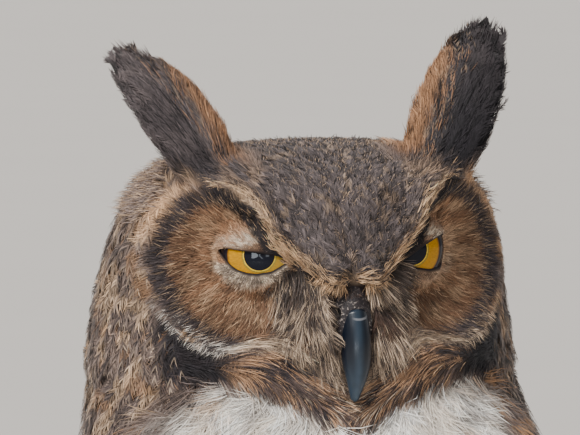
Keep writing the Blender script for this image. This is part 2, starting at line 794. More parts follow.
class Lookup:
    """Finds the skin nearest to many points at once, on a grid."""

    cell = 0.003
    margin = 0.034

    def __init__(self, points, normals):
        self.points, self.normals = points, normals
        self.low = points.min(0) - self.margin
        self.shape = np.ceil((points.max(0) + self.margin - self.low) / self.cell).astype(int)
        self.grid = np.full(self.shape, -1, np.int32)
        best = np.full(self.shape, 1e9, np.float32)
        self.grid[self.cells(points)] = np.arange(len(points))
        for _ in range(9):
            for axis in range(3):
                for step in (-1, 1):
                    other = np.roll(self.grid, step, axis)
                    where = np.nonzero((other >= 0) & (other != self.grid))
                    centres = self.low + (np.stack(where, 1) + 0.5) * self.cell
                    away = ((centres - points[other[where]]) ** 2).sum(1)
                    closer = away < best[where]
                    chosen = tuple(w[closer] for w in where)
                    self.grid[chosen] = other[chosen]
                    best[chosen] = away[closer]

    def cells(self, points):
        return tuple(np.clip(((points - self.low) / self.cell).astype(int), 0, self.shape - 1).T)

    def find(self, points):
        index = self.grid[self.cells(points)]
        return np.maximum(index, 0), index >= 0


class OWL_OT_skin(bpy.types.Operator):
    """Makes one skin from the solids of flesh, sunk by the coat's depth, with lids"""

    bl_idname = "owl.skin"
    bl_label = "Skin"

    def execute(self, context):
        piece = solids_copy(FLESH + ["eye_left", "eye_right"])
        only(piece)
        piece.data.remesh_voxel_size = 0.002
        piece.data.remesh_voxel_adaptivity = 0
        bpy.ops.object.voxel_remesh()
        mesh = piece.data
        shell = bmesh.new()
        shell.from_mesh(mesh)
        drop_inner_shells(shell)
        labels = nearest_nodes([v.co for v in shell.verts])
        edges = np.array([[v.index for v in e.verts] for e in shell.edges])
        points = relax(straightened(np.array([v.co for v in shell.verts])), edges, 2)
        for vert, point in zip(shell.verts, points):
            vert.co = point
        shell.normal_update()
        normals = np.array([v.normal for v in shell.verts])
        bill = np.linalg.norm((points - (0, -0.040, EYE_LEVEL - 0.016)) / (0.016, 0.020, 0.022), axis=1)
        depth = relax(coat_depth(labels), edges, 3) * (0.35 + 0.65 * smooth(0.8, 1.6, bill))[:, None]
        points, kept = shape_face(points - normals * depth)
        for vert, point in zip(shell.verts, points):
            vert.co = point
        bmesh.ops.delete(shell, geom=[v for v, keep in zip(shell.verts, kept) if not keep], context="VERTS")
        shell.to_mesh(mesh)
        shell.free()
        labels = [label for label, keep in zip(labels, kept) if keep]
        shell = bmesh.new()  # a fresh one, so that the lids' points come last
        shell.from_mesh(mesh)
        for side in (1, -1):
            ring_points, ring_faces = lid_rings(side)
            verts = [shell.verts.new(p) for p in ring_points]
            for face in ring_faces:
                shell.faces.new([verts[i] for i in face])
            labels.extend(["lid"] * len(ring_points))
        shell.to_mesh(mesh)
        shell.free()
        mesh.polygons.foreach_set("use_smooth", np.ones(len(mesh.polygons), bool))
        mesh.update()
        labels = np.array(labels)
        on_lid = labels == "lid"
        points = read(mesh.vertices, "co", 3).astype(float)
        normals = read(mesh.vertices, "normal", 3).astype(float)
        soft = unit(relax(normals, read(mesh.edges, "vertices", 2, np.int32), 4))
        normals = np.where(on_lid[:, None], normals, soft)

        only(piece)
        while mesh.uv_layers:
            mesh.uv_layers.remove(mesh.uv_layers[0])
        mesh.uv_layers.new(name="OFBake")
        bpy.ops.object.mode_set(mode="EDIT")
        bpy.ops.mesh.select_all(action="SELECT")
        bpy.ops.uv.smart_project(angle_limit=math.radians(72), island_margin=0.002)
        bpy.ops.object.mode_set(mode="OBJECT")
        mesh.calc_loop_triangles()
        corners = read(mesh.loop_triangles, "vertices", 3, np.int32)
        loops = read(mesh.loop_triangles, "loops", 3, np.int32)
        triangle = points[corners]
        across = np.cross(triangle[:, 1] - triangle[:, 0], triangle[:, 2] - triangle[:, 0])
        work.skin = SimpleNamespace(
            points=points, normals=normals, corners=corners, uvs=read(mesh.uv_layers["OFBake"].uv, "vector", 2)[loops],
            areas=np.linalg.norm(across, axis=1) / 2, middles=triangle.mean(1), normal=unit(across),
            label=labels[corners[:, 0]],
        )
        work.places = skin_places()
        work.lookup = Lookup(points[~on_lid], normals[~on_lid])
        rims = np.zeros(len(points))
        for side in (1, -1):
            mine = on_lid & (points[:, 0] * side > 0)
            rims[mine] = 1 - smooth(0.0005, 0.0013, beyond_lid(eye_plan(side, points[mine])[0], side))
        store_tint(mesh, mix(markings(points, labels) * 0.38, np.array(context.scene.owl_eyes.lid), rims))
        mesh.vertices.foreach_set("co", flat(posed(points)))
        mesh.materials.clear()
        mesh.materials.append(coat_material("under_coat", 0.8, 0.0, 0.5, 700.0))
        mesh.update()
        settle(piece, "plumage", *FLESH)
        return {"FINISHED"}


# ---- markings ----
def head_place(points):
    """Distances out from the middle, ahead and up from eye level, in millimetres, and the side."""
    return np.abs(points[:, 0]) / MM, points[:, 1] / MM, (points[:, 2] - EYE_LEVEL) / MM, np.sign(points[:, 0])


def off_line(out, up, line):
    """Distance from a broken line."""
    best = np.full(np.shape(out), 1e9)
    for (a, b), (c, d) in zip(line[:-1], line[1:]):
        share = np.clip(((out - a) * (c - a) + (up - b) * (d - b)) / ((c - a) ** 2 + (d - b) ** 2), 0, 1)
        best = np.minimum(best, np.hypot(out - a - share * (c - a), up - b - share * (d - b)))
    return best


def over_brow(out, up):
    """Distance above the brow's lower edge, less than zero under it."""
    return off_line(out, up, BROW_EDGE) * np.where(up > np.interp(out, *np.array(BROW_EDGE).T), 1, -1)


def ruff_top(out):
    """Height of the upper edge of the pale band that curves under the discs to the bill."""
    places = (0, 5, 10, 18.3, 27.9, 37.9, 48, 56, 62, 66)
    return np.interp(out, places, (-48, -42, -36, -28.5, -26, -28.7, -31, -28, -22, -16))


def bib_top(out):
    """Height of the upper edge of the white bib."""
    return np.interp(out, (0, 9, 14.3, 25.5, 34.8, 47.6, 60, 70), (-57, -55.5, -51.8, -46.8, -43.2, -41.5, -45, -60))


def disc_reach(out, up):
    """One at the rim of the facial disc, less inside."""
    return np.hypot((out - 34) / 31, (up + 3) / 30)


def inner_corner(out, up, side):
    """How far a place lies in the dark patch under an eye's inner corner."""
    return bell((out - 20.0 - 2.0 * side) / 4.6, (up + 8.0) / (4.0 + 0.6 * side))


def tuft_path(side):
    rise = TUFT_PATH[:, 2] + TUFT_LIFTS[side] * np.linspace(0, 1, 4) ** 2
    return rows(side * TUFT_PATH[:, 0], TUFT_PATH[:, 1], EYE_LEVEL + rise), unit(np.array((side * -0.35, -1, 0.35)))


def tuft_station(points):
    """Where along its tuft each point lies, how far off its path, and how far to the inner, upper edge."""
    best = np.full(len(points), 1e9)
    along, inner = np.zeros(len(points)), np.zeros(len(points))
    for side in (1, -1):
        path, facing = tuft_path(side)
        for i in range(3):
            span = path[i + 1] - path[i]
            share = np.clip((points - path[i]) @ span / (span @ span), 0, 1)
            offset = points - path[i] - share[:, None] * span
            away = np.linalg.norm(offset, axis=1)
            near = away < best
            best = np.where(near, away, best)
            across = np.cross(unit(span), facing) * -side
            along = np.where(near, (i + share) / 3, along)
            inner = np.where(near, offset @ across, inner)
    return along, best, inner


def body_marks(c, points, kinds, medium, fine, broad):
    """Colour of the neck, back, breast, wings, tail and legs."""
    shade = layered(
        c.neck,
        (c.crown_dark, 0.60 * smooth(0.45, 0.62, medium * 0.55 + fine * 0.45)),
        (c.buff, 0.55 * smooth(0.60, 0.72, noise(points, 0.006, 5))),
        (c.ochre, 0.35 * smooth(0.62, 0.75, noise(points, 0.009, 6))),
    )
    front = smooth(0.030, -0.030, points[:, 1] + 0.25 * np.abs(points[:, 0]))
    breast = layered(
        c.breast, (c.white, 0.25 * broad), (c.ochre, 0.5 * smooth(0.55, 0.75, noise(points, 0.020, 7)))
    )
    shade = mix(shade, breast, front * smooth(0.345, 0.325, points[:, 2]) * (kinds == "trunk"))
    for kind, base in (("wing", c.wing), ("tail", mix(c.wing, c.breast, 0.35))):
        here = kinds == kind
        wing = mix(base, c.crown_dark, 0.45 * smooth(0.5, 0.7, medium))
        shade[here] = mix(wing, c.breast, 0.4 * smooth(0.62, 0.75, noise(points, 0.012, 8)))[here]
    legs = np.isin(kinds, ("thigh", "tarsus", "foot"))
    shade[legs] = mix(c.leg, c.ochre, 0.3 * broad)[legs]
    return shade


def bib_marks(c, points, shade, up, edge, medium):
    """Lays the white bib, whose upper edge is given, over the colours."""
    chin = points - np.array((0.0, -0.030, 0.350))
    bib = smooth(1.15, 0.90, np.hypot(chin[:, 0] / 0.062, chin[:, 2] / 0.032) + 0.2 * (medium - 0.5))
    white = layered(
        c.white,
        (c.cream, 0.45 * smooth(0.45, 0.7, medium)),
        (c.crown, 0.4 * smooth(0.62, 0.8, noise(points * (1, 1, 0.5), 0.007, 10))),
    )
    return mix(shade, white, bib * (points[:, 1] < 0.005) * smooth(1.0, -1.5, up - edge))


def crown_marks(c, points, out, up, over, medium, fine):
    """Colour of the crown and the brow."""
    return layered(
        c.crown,
        (c.crown_dark, 0.30 * smooth(0.44, 0.62, fine * 0.5 + medium * 0.5)),
        (c.buff, 0.22 * smooth(0.64, 0.80, noise(points, 0.0028, 9))),
        (mix(c.buff, c.rufous, 0.45), 0.85 * bell((out - 35) / 8, (up - 36) / 8) * smooth(0.25, 0.50, medium)),
        (c.buff, 0.6 * bell(over / 3.2) * smooth(46, 38, out)),
        (c.rim, 0.85 * bell((out - 50 + 0.8 * (up - 31)) / 9, (up - 31) / 6)),
    )


def disc_marks(c, points, out, up, side, over, reach, medium, fine):
    """Colour of the facial discs, with the dark rims and patches round the eyes."""
    eye_out = out - EYE_OUT
    gap = lid_clear(points) / MM
    low = np.maximum(smooth(-8, -22, up), smooth(44, 56, out)) * smooth(16, 30, out)
    under = mix(c.cream, c.buff, 0.3) * 0.95
    under = mix(under, c.crown, 0.6 * smooth(0.45, 0.62, noise(points * (1, 1, 0.7), 0.0011, 14)))
    under_share = smooth(6.4, 3.2, gap + 1.6 * (medium - 0.5) - 0.10 * eye_out) * (0.65 - 0.35 * side)
    under_share = under_share * smooth(0.5, -1.2, up + 0.10 * eye_out) * smooth(17.0, 21.0, out - 3.0 * (side > 0))
    patch = mix(c.cream, c.rufous, 0.75 * smooth(0.45, 0.62, noise(points * (0.6, 1, 1.6), 0.0011, 15)))
    patch_share = bell((eye_out - 8.5) / 7.0, (up - 7.4 + 0.30 * (eye_out - 8.5)) / 2.5)
    lid_share = smooth(4.6, 2.8, up - 0.25 * eye_out) * smooth(-1.5, 0.5, up + 0.10 * eye_out)
    lid_share = lid_share * smooth(7.5, 3.0, eye_out) * (gap < 8)
    wide = np.interp(out, (16, 22, 27, 32, 38, 46), (1.5, 2.4, 3.4, 4.6, 4.8, 5.5))
    crease = off_line(out, up, ((15.0, -3.0), (19.0, -7.5), (24.5, -11.0), (30.0, -12.5)))
    crease = bell(crease / np.interp(out, (15, 20, 30), (3.0, 2.0, 0.8))) * (gap > 0.5)
    ring = smooth(0.77, 0.86, reach + 0.06 * (medium - 0.5)) * smooth(36, 46, out)
    return layered(
        c.rufous,
        (c.umber, 0.42 * smooth(0.40, 0.75, noise(points * (1, 1, 1.6), 0.0030, 11))),
        (c.buff, 0.40 * smooth(0.5, 0.75, noise(points, 0.0045, 12))),
        (c.umber, 0.62 * low),
        (under, under_share),
        (patch * 0.85, np.minimum(1.25 * patch_share, 1) * (gap < 12)),
        (mix(c.rim, c.crown, 0.5 * smooth(0.5, 0.7, fine)), 0.85 * lid_share),
        (c.rim * 0.7, 0.97 * smooth(-wide - 0.9, -wide + 0.9, over) * smooth(12, 17, out)),
        (mix(c.rim, c.umber, medium), 0.8 * smooth(28, 19, out) * smooth(-3, -9, up)),
        (c.rim * 0.55, np.minimum(1.8 * inner_corner(out, up, side), 1) * (over < 0)),
        (c.rim, 0.85 * crease),
        (mix(c.rim, c.crown, 0.12 + 0.3 * smooth(0.45, 0.7, fine)), 0.95 * ring),
    )


def ruff_marks(c, out, up, side, under, medium):
    """Colour of the ruff: long pale strands that curve in to the bill, brown gaps and warm shafts under them."""
    streak = noise(rows(out * 0.12, under, side * 9), 1.0, 16)
    thick = np.interp(out, (2, 10, 22, 32, 42, 52, 62), (4.5, 6.0, 6.5, 4.0, 2.0, 1.6, 1.2))
    pale = mix(mix(c.cream, c.buff, 0.55) * 0.95, c.white, smooth(40, 48, out) * (0.35 - 0.35 * side))
    pale = mix(pale * 0.95, c.umber, 0.62 * smooth(0.62, 0.48, streak) * smooth(54, 40, out))
    gaps = layered(
        mix(c.umber, c.crown, 0.5) * 1.05,
        (c.crown_dark, smooth(0.45, 0.60, medium)),
        (c.orange * 0.95, 0.75 * smooth(0.54, 0.68, streak) * smooth(52, 40, out)),
        (c.rim * 0.7, 0.95 * smooth(42, 50, out) * smooth(-46, -40, up)),
    )
    return mix(gaps, pale, smooth(thick + 1.0, thick - 1.0, under))


def tuft_marks(c, points, side, medium):
    """Colour of the ear tufts, and how far off their path points lie."""
    along, away, inner = tuft_station(points)
    left = side > 0
    tuft = mix(mix(c.rim, c.crown, 0.55), c.crown * 1.2, 0.6 * smooth(0.5, 0.66, medium))
    tuft = mix(tuft, c.rim * 0.8, 0.35 * smooth(0.003, -0.002, inner) * smooth(0.9, 0.3, along) + 0.65 * left)
    tuft = tuft * (1 - 0.12 * left)[:, None]
    fringe = smooth(0.0055, 0.0100, inner + 0.003 * (medium - 0.5))
    fringe = fringe * smooth(0.0, 0.2, along) * smooth(0.85, 0.65, along)
    tuft = layered(
        tuft,
        (c.rim * 0.8, 0.9 * smooth(0.12, 0.02, along) * (inner < 0.004)),
        (mix(c.rufous, c.ochre, 0.2) * 0.85, 0.85 * fringe),
    )
    return tuft, away


def markings(points, labels):
    """The plumage's colour at points of the bird that looks straight ahead."""
    c = tones()
    out, ahead, up, side = head_place(points)
    fine, medium, broad = noise(points, 0.0013, 1), noise(points, 0.0045, 2), noise(points, 0.014, 3)
    is_head = np.isin(labels, ("head", "facial_disc_left", "facial_disc_right", "lid", "tuft_left", "tuft_right"))
    is_head |= up > -30
    over, reach, edge = over_brow(out, up), disc_reach(out, up), bib_top(out)
    kinds = np.array([str(label).split("_")[0] for label in labels])
    shade = body_marks(c, points, kinds, medium, fine, broad)
    shade = bib_marks(c, points, shade, up, edge, medium)
    is_crown = smooth(-1.0, 0.5, over) * smooth(70, 40, ahead) * is_head * smooth(4, 12, up + 20 * (ahead < -5))
    is_face = is_head * smooth(0.6, -0.6, over) * smooth(1.08, 1.0, reach) * (ahead < 2)
    beside = smooth(17, 12, out) * smooth(-4, -7, up) * smooth(0.6, -0.6, over) * (ahead < -20) * is_head
    under = ruff_top(out) - up
    below = smooth(-0.5, 0.8, under) * smooth(-1.5, 2.0, up - edge) * (ahead < 4) * smooth(68, 62, out)
    around = bell((reach - 1.10) / 0.07) * (ahead < 12) * is_head * smooth(0.5, -2.0, over)
    around = around * smooth(0, 12, up) * smooth(30, 22, up) * smooth(0.15, 0.45, medium)
    brow_foot = bell((over + 1.0) / 2.6) * smooth(36, 42, out) * smooth(56, 50, out) * (ahead < 5) * is_head
    tuft, away = tuft_marks(c, points, side, medium)
    return layered(
        shade,
        (crown_marks(c, points, out, up, over, medium, fine), is_crown),
        (disc_marks(c, points, out, up, side, over, reach, medium, fine), is_face),
        (mix(c.rim, c.umber, medium), 0.85 * beside),
        (ruff_marks(c, out, up, side, under, medium), below),
        (mix(c.buff, c.orange, 0.6) * 1.15, 0.9 * around),
        (c.rim, 0.9 * brow_foot),
        (tuft, smooth(0.019, 0.013, away) * smooth(26, 34, up) * is_head),
    )


def head_marks(points):
    return markings(points, np.full(len(points), "head"))


# ---- what grows where ----
def skin_places():
    """Values at the middles of the skin's triangles that say what grows there."""
    middles, facing = work.skin.middles, work.skin.normal[:, 1]
    out, ahead, up, side = head_place(middles)
    along, away, inner = tuft_station(middles)
    return SimpleNamespace(
        middles=middles, facing=facing, out=out, ahead=ahead, up=up, side=side, over=over_brow(out, up),
        reach=disc_reach(out, up), clear=lid_clear(middles), ruff=ruff_top(out), bib=bib_top(out),
        along=along, away=away, inner=inner, tufted=away < 0.016,
    )


def label_is(*starts):
    return np.array([str(label).startswith(starts) for label in work.skin.label])


def crown_flow(points):
    out, ahead, up, side = head_place(points)
    return mix(unit(rows(side * out * 1.15, ahead + 35, up + 17)), np.array((0.0, 0.25, -1.0)), smooth(8, 48, ahead))


def face_flow(points):
    """Away from the eye, and near the bill away from the eye's inner corner."""
    out, _, up, side = head_place(points)
    from_eye = unit(rows(out - EYE_OUT, up))
    way = mix(unit(rows(out - 9.0, up + 4.0)), from_eye, smooth(13, 27, out))
    inner = (out < 24) & (up > -2)
    way[inner] = from_eye[inner]
    return rows(side * way[:, 0], 0, way[:, 1])


def brow_flow(points):
    out, _, _, side = head_place(points)
    places = (0, 6, 10, 14, 20, 25, 28, 31, 34, 37, 45)
    slope = np.interp(out, places, (0.1, 0.1, 0.45, 0.68, 0.75, 1.0, 1.7, 1.7, 1.1, 0.7, 0.6))
    return rows(side, -0.25 * smooth(30, 15, out), slope)


def tuft_flow(points):
    """Up along the tuft, opening out to its edges."""
    along, _, inner = tuft_station(points)
    side = np.sign(points[:, 0])
    flow = np.zeros_like(points)
    for hand in (1, -1):
        path, facing = tuft_path(hand)
        spans = unit(np.diff(path, axis=0))
        here = side == hand
        spot = np.clip(along[here] * 3 - 0.5, 0, 2)
        low = np.clip(spot.astype(int), 0, 1)
        way = unit(mix(spans[low], spans[low + 1], spot - low))
        fan = np.clip(inner[here] / 0.012, -1, 1) * (0.36 + 0.25 * (inner[here] > 0)) * (1 - 0.35 * along[here])
        flow[here] = way + np.cross(way, facing) * -hand * fan[:, None]
    return flow


def down_flow(points):
    return rows(points[:, 0] * 1.5, 0.15, -1.0)


def bib_flow(points):
    """Out and down from under the bill."""
    low = smooth(0.37, 0.31, points[:, 2])
    return rows(points[:, 0] * 14 * (1 - 0.7 * low), -0.1, -0.75 - 0.5 * low)


def ruff_flow(points):
    """In towards the throat under the bill's tip, arching over as it goes."""
    out, _, up, side = head_place(points)
    fall = np.interp(out, (0, 10, 16, 22, 28, 34, 40, 52), (0.45, 0.58, 0.70, 0.85, 0.60, 0.32, 0.06, -0.05))
    return rows(-side, 0, -fall - 1.2 * smooth(5.0, -1.0, up - bib_top(out)))


def bristle_fan(out, up, hand):
    """Where the bristles beside the bill point, out and up: away from a middle of their own on each side."""
    middle = (24.0, 8.0) if hand < 0 else (2.5, -1.0)
    return unit(rows(out - middle[0], up - middle[1]))


def bristle_flow(points):
    out, _, up, _ = head_place(points)
    fan = bristle_fan(out, up, -1)
    return mix(rows(-fan[:, 0], 0, fan[:, 1]), np.array((0.0, 0.0, -1.0)), 0.75 * smooth(10, 5, out))


def wing_flow(points):
    """Down and back along the folded wing."""
    return unit(rows(0.020 * np.sign(points[:, 0]), 0.122, -0.050) - points)


def tail_flow(points):
    return rows(points[:, 0] * 2.0, 0.35, -1.0)


def leg_flow(points):
    return np.array((0.0, 0.1, -1.0))


def foot_flow(points):
    spread = unit(points[:, :2] - rows(LEG_OUT * np.sign(points[:, 0]), -0.001))
    return rows(spread[:, 0], spread[:, 1], -0.25)


# ---- the coat ----
class Roots:
    """Places on the skin that feathers grow from, with random values for them."""

    def __init__(self, rng, points, normals, uv, label):
        self.rng, self.p, self.n, self.uv, self.label = rng, points, normals, uv, label
        self.count = len(points)
        self.out, self.ahead, self.up, self.side = head_place(points)

    def kept(self, which):
        return Roots(self.rng, self.p[which], self.n[which], self.uv[which], self.label[which])

    def chance(self):
        return self.rng.random(self.count)

    def between(self, low, high):
        return self.rng.uniform(low, high, self.count)

    def astray(self, amount):
        return self.rng.normal(0, amount, (self.count, 3))

    def combed(self, sizes, lifts, flow, *how, scale=1.0, **more):
        """Combed paths of lengths between these two, in millimetres, and lifts between those two."""
        size = self.between(*sizes) * MM * scale
        return comb(self, size, self.between(*lifts), flow, *how, **more)


def sample(rng, count, weight, spacing=0.0):
    """Roots spread over the skin by area and weight, no closer than the spacing."""
    skin = work.skin
    odds = skin.areas * np.clip(weight, 0, None)
    if odds.sum() <= 0:
        raise RuntimeError("no skin there for the coat to grow on")
    pick = rng.choice(len(odds), count, p=odds / odds.sum())
    a, b = rng.random(count), rng.random(count)
    over = a + b > 1
    a[over], b[over] = 1 - a[over], 1 - b[over]
    share = rows(1 - a - b, a, b)[:, :, None]
    corners = skin.corners[pick]
    points, normals = (skin.points[corners] * share).sum(1), (skin.normals[corners] * share).sum(1)
    roots = Roots(rng, points, unit(normals), (skin.uvs[pick] * share).sum(1), skin.label[pick])
    if spacing:
        _, first = np.unique(np.floor(roots.p / spacing + 0.37).astype(int), axis=0, return_index=True)
        roots = roots.kept(np.sort(first))
    return roots


def tangent(vectors, normals):
    return unit(vectors - normals * dot(vectors, normals))


def comb(roots, reach, lift, flow, segments=3, stray=0.15, curl=0.0, locks=0.0):
    """Paths that follow the flow over the skin and rise off it. Returns points and up directions."""
    lookup, normal = work.lookup, roots.n
    step = (reach / segments)[:, None]
    here = roots.p - normal * ROOT_DEPTH
    turn = roots.rng.normal(0, stray, roots.count)[:, None]
    if locks:
        turn += locks * (noise(roots.p, 0.0050, 51) - 0.5)[:, None] * 2
    bend = roots.rng.normal(0, 1, roots.count)[:, None] * curl
    path, ups = [here], [normal]
    way = tangent(flow(here), normal)
    for k in range(1, segments + 1):
        angle = turn + bend * (k / segments)
        way = way * np.cos(angle) + np.cross(normal, way) * np.sin(angle)
        here = here + way * step
        index, found = lookup.find(here)
        found, local = found[:, None], lookup.normals[index]
        height = dot(here - lookup.points[index], local)
        wanted = (reach * lift * (k / segments) ** RISE_POWER)[:, None]
        here = here + np.where(found, local * np.clip(wanted - height, -0.9 * step, 0.9 * step), 0)
        normal = unit(np.where(found, local * 0.7 + normal * 0.3, normal))
        path.append(here)
        ups.append(normal)
        way = tangent(flow(here), normal)
    return np.stack(path, 1), np.stack(ups, 1)


def sweep(roots, reach, first, last, segments, power=1.0):
    """Free paths whose direction turns evenly from the first to the last."""
    first, last = unit(first), unit(last)
    path = [roots.p - roots.n * ROOT_DEPTH]
    for k in range(segments):
        share = ((k + 0.5) / segments) ** power
        path.append(path[-1] + unit(first * (1 - share) + last * share) * (reach / segments)[:, None])
    return np.stack(path, 1), np.repeat(roots.n[:, None], segments + 1, 1)


def rolled(rng, path, ups, roll):
    """Directions along and across paths, rolled a little each."""
    along = unit(np.gradient(path, axis=1))
    side = unit(np.cross(ups, along))
    lean = rng.normal(0, roll, (len(path), 1, 1))
    return along, side * np.cos(lean) + np.cross(along, side) * np.sin(lean)


def graded(roots, base, ends, spread=0.18):
    """Colours along each strand: the base colour, times a factor at each station, varied by strand."""
    vary = np.clip(1 + roots.rng.normal(0, spread, (roots.count, 1, 1)), 0.45, 1.7)
    return np.broadcast_to(base, (roots.count, 3))[:, None] * np.asarray(ends)[None, :, None] * vary


class Coat:
    """Gathers strands, feathers and vanes, and makes them one piece."""

    def __init__(self, name):
        self.name = name
        self.points, self.colours, self.uvs, self.vanes = [], [], [], []
        self.faces = {4: [], 3: []}  # by the number of their corners
        self.size = 0

    def put(self, points, colours, uvs, *faces, vanes=None):
        for kept, values, width in ((self.points, points, 3), (self.colours, colours, 3), (self.uvs, uvs, 2)):
            kept.append(values.reshape(-1, width))
        for some in faces:
            corners = some.shape[-1]
            self.faces[corners].append(some.reshape(-1, corners) + self.size)
        if vanes is not None:
            self.vanes.append(vanes.reshape(-1, 3))
        self.size += len(self.points[-1])

    def strands(self, roots, lines, width, colours, roll=0.5, taper=0.55):
        """Tapered ribbons along paths, rolled a little each, that end in a point."""
        path, ups = lines
        count, stations = path.shape[:2]
        side = rolled(roots.rng, path, ups, roll)[1]
        share = np.linspace(0, 1, stations)
        half = side * width[:, None, None] / 2 * (1 - (1 - taper) * share**1.5)[None, :, None]
        body = np.stack([(path - half)[:, :-1], (path + half)[:, :-1]], 2).reshape(count, -1, 3)
        per = 2 * stations - 1
        start = (np.arange(count) * per)[:, None, None]
        row = np.arange(stations - 2) * 2
        quads = start + rows(row, row + 1, row + 3, row + 2)
        tips = start + np.array([[per - 3, per - 2, per - 1]])
        shades = np.concatenate([np.repeat(colours[:, :-1], 2, 1), colours[:, -1:]], 1)
        spread = np.empty((per, 2))
        spread[:-1, 0] = np.tile((-0.0012, 0.0012), stations - 1)
        spread[:-1, 1] = np.repeat(share[:-1] - 0.5, 2) * 0.003
        spread[-1] = (0, 0.0015)
        self.put(np.concatenate([body, path[:, -1:]], 1), shades, roots.uv[:, None] + spread, quads, tips)

    def lay(self, roots, lines, widths, tone, ends, spread=0.18, roll=0.5, taper=0.55):
        """Strands of a width between these two, in millimetres, graded from root to tip."""
        width = roots.between(*widths) * MM
        self.strands(roots, lines, width, graded(roots, tone, ends, spread), roll, taper)

    def feathers(self, roots, lines, half, barbs, width, shade, shaft=None, camber=0.10, opening=0.9, tilt=0.16):
        """Small soft feathers: barbs that fan from a dark shaft."""
        rng, (path, ups) = roots.rng, lines
        count, stations = path.shape[:2]
        along, side = rolled(rng, path, ups, tilt)
        row = np.arange(count)[:, None]
        for hand in (-1, 1):
            where = 0.10 + 0.86 * (np.arange(barbs) + rng.random((count, barbs)) * 0.8) / barbs
            spot = where * (stations - 1)
            low = np.clip(spot.astype(int), 0, stations - 2)
            part = (spot - low)[..., None]
            base = path[row, low] * (1 - part) + path[row, low + 1] * part
            forward = unit(along[row, low] * (1 - part) + along[row, low + 1] * part)
            normal = ups[row, low]
            slant = (0.85 - 0.55 * where + rng.normal(0, 0.07, where.shape))[..., None]
            form = np.sin(np.pi * np.clip(where * 0.62 + 0.30, 0, 1)) ** 0.8
            far = (half * form)[..., None] / np.maximum(np.sin(slant), 0.35) * opening
            way = forward * np.cos(slant) + side[row, low] * hand * np.sin(slant)
            tip = base + way * far - normal * far * camber * 2
            middle = base + way * far * 0.5 - normal * far * camber * 0.3
            edge = unit(np.cross(normal, way)) * width / 2
            points = np.stack([base - edge, base + edge, middle - edge * 0.9, middle + edge * 0.9, tip], 2)
            start = np.arange(count * barbs)[:, None] * 5
            colours = shade(middle.reshape(-1, 3), np.repeat(np.arange(count), barbs), where.ravel())
            colours = colours.reshape(count, barbs, 1, 3) * np.array((0.72, 0.72, 1.0, 1.0, 1.16))[:, None]
            ways = np.array(
                ((0, -0.0012), (0.0004, -0.0012), (0.0007 * hand, 0), (0.0009 * hand, 0), (0.0014 * hand, 0.0013))
            )
            self.put(
                points, colours, np.broadcast_to(roots.uv[:, None, None] + ways, (count, barbs, 5, 2)),
                start + [0, 1, 3, 2], start + [2, 3, 4],
            )
        if shaft is not None:
            keep = roots.chance() < 0.55
            lines = (path + ups * 0.00015)[keep], ups[keep]
            tone = np.broadcast_to(shaft, lines[0].shape)
            self.strands(roots.kept(keep), lines, np.full(keep.sum(), width * 0.8), tone, 0.05, 0.4)

    def vane_set(self, roots, lines, half, colours, camber, ragged, pointed=0.0, phase=None, scale=1.0):
        """Whole feathers, cambered and rounded at the tip, with a slightly ragged edge."""
        rng, (path, ups) = roots.rng, lines
        count, stations = path.shape[:2]
        along, side = rolled(rng, path, ups, 0.06)
        share = np.linspace(0, 1, stations)
        blunt = np.interp(share, (0, 0.15, 0.4, 0.7, 0.88, 0.96, 1), (0.30, 0.72, 0.96, 1.0, 0.78, 0.50, 0.20))
        sharp = np.interp(share, (0, 0.15, 0.4, 0.7, 0.9, 1), (0.35, 0.75, 1.0, 0.80, 0.42, 0.05))
        form = blunt * (1 - pointed) + sharp * pointed
        columns = np.linspace(-1, 1, 5)
        wide = half[:, None] * form * (1 + rng.normal(0, ragged * 0.5, (count, stations)))
        place = path[:, :, None] + side[:, :, None] * columns[:, None] * wide[..., None, None]
        place = place - ups[:, :, None] * (camber * half[:, None, None] * columns**2 * form[:, None])[..., None]
        slip = rng.normal(0, ragged, (count, 5)) * half[:, None]
        place[:, -1] += along[:, -1, None] * slip[..., None] * 0.6
        start = (np.arange(count) * stations * 5)[:, None, None, None]
        first = np.arange(stations - 1)[:, None] * 5 + np.arange(4)
        phase = roots.chance() if phase is None else phase
        self.put(
            place, np.repeat(colours[:, :, None], 5, 2),
            roots.uv[:, None, None] + rows(columns * 0.0014, (share[:, None] - 0.5) * 0.0028),
            start + rows(first, first + 1, first + 6, first + 5),
            vanes=rows(columns, share[:, None] * scale, phase[:, None, None]),
        )

    def finish(self, material, slot):
        points = np.concatenate(self.points)
        points[:, 1] = np.minimum(points[:, 1], BACK_LIMIT)
        faces = [np.concatenate(some) for some in self.faces.values() if some]
        triangles = sum(len(some) * (some.shape[1] - 2) for some in faces)
        if triangles >= TRIANGLE_LIMIT:
            raise RuntimeError(f"{self.name} has {triangles} triangles")
        piece, corners = mesh_from(self.name, posed(points), faces, material)
        store_tint(piece.data, np.clip(np.concatenate(self.colours), 0.002, 0.95))
        uvs = piece.data.uv_layers.new(name="OFBake").uv
        uvs.foreach_set("vector", flat(np.concatenate(self.uvs)[corners]))
        if self.vanes:
            store_vectors(piece.data, "vane", np.concatenate(self.vanes))
        settle(piece, slot)


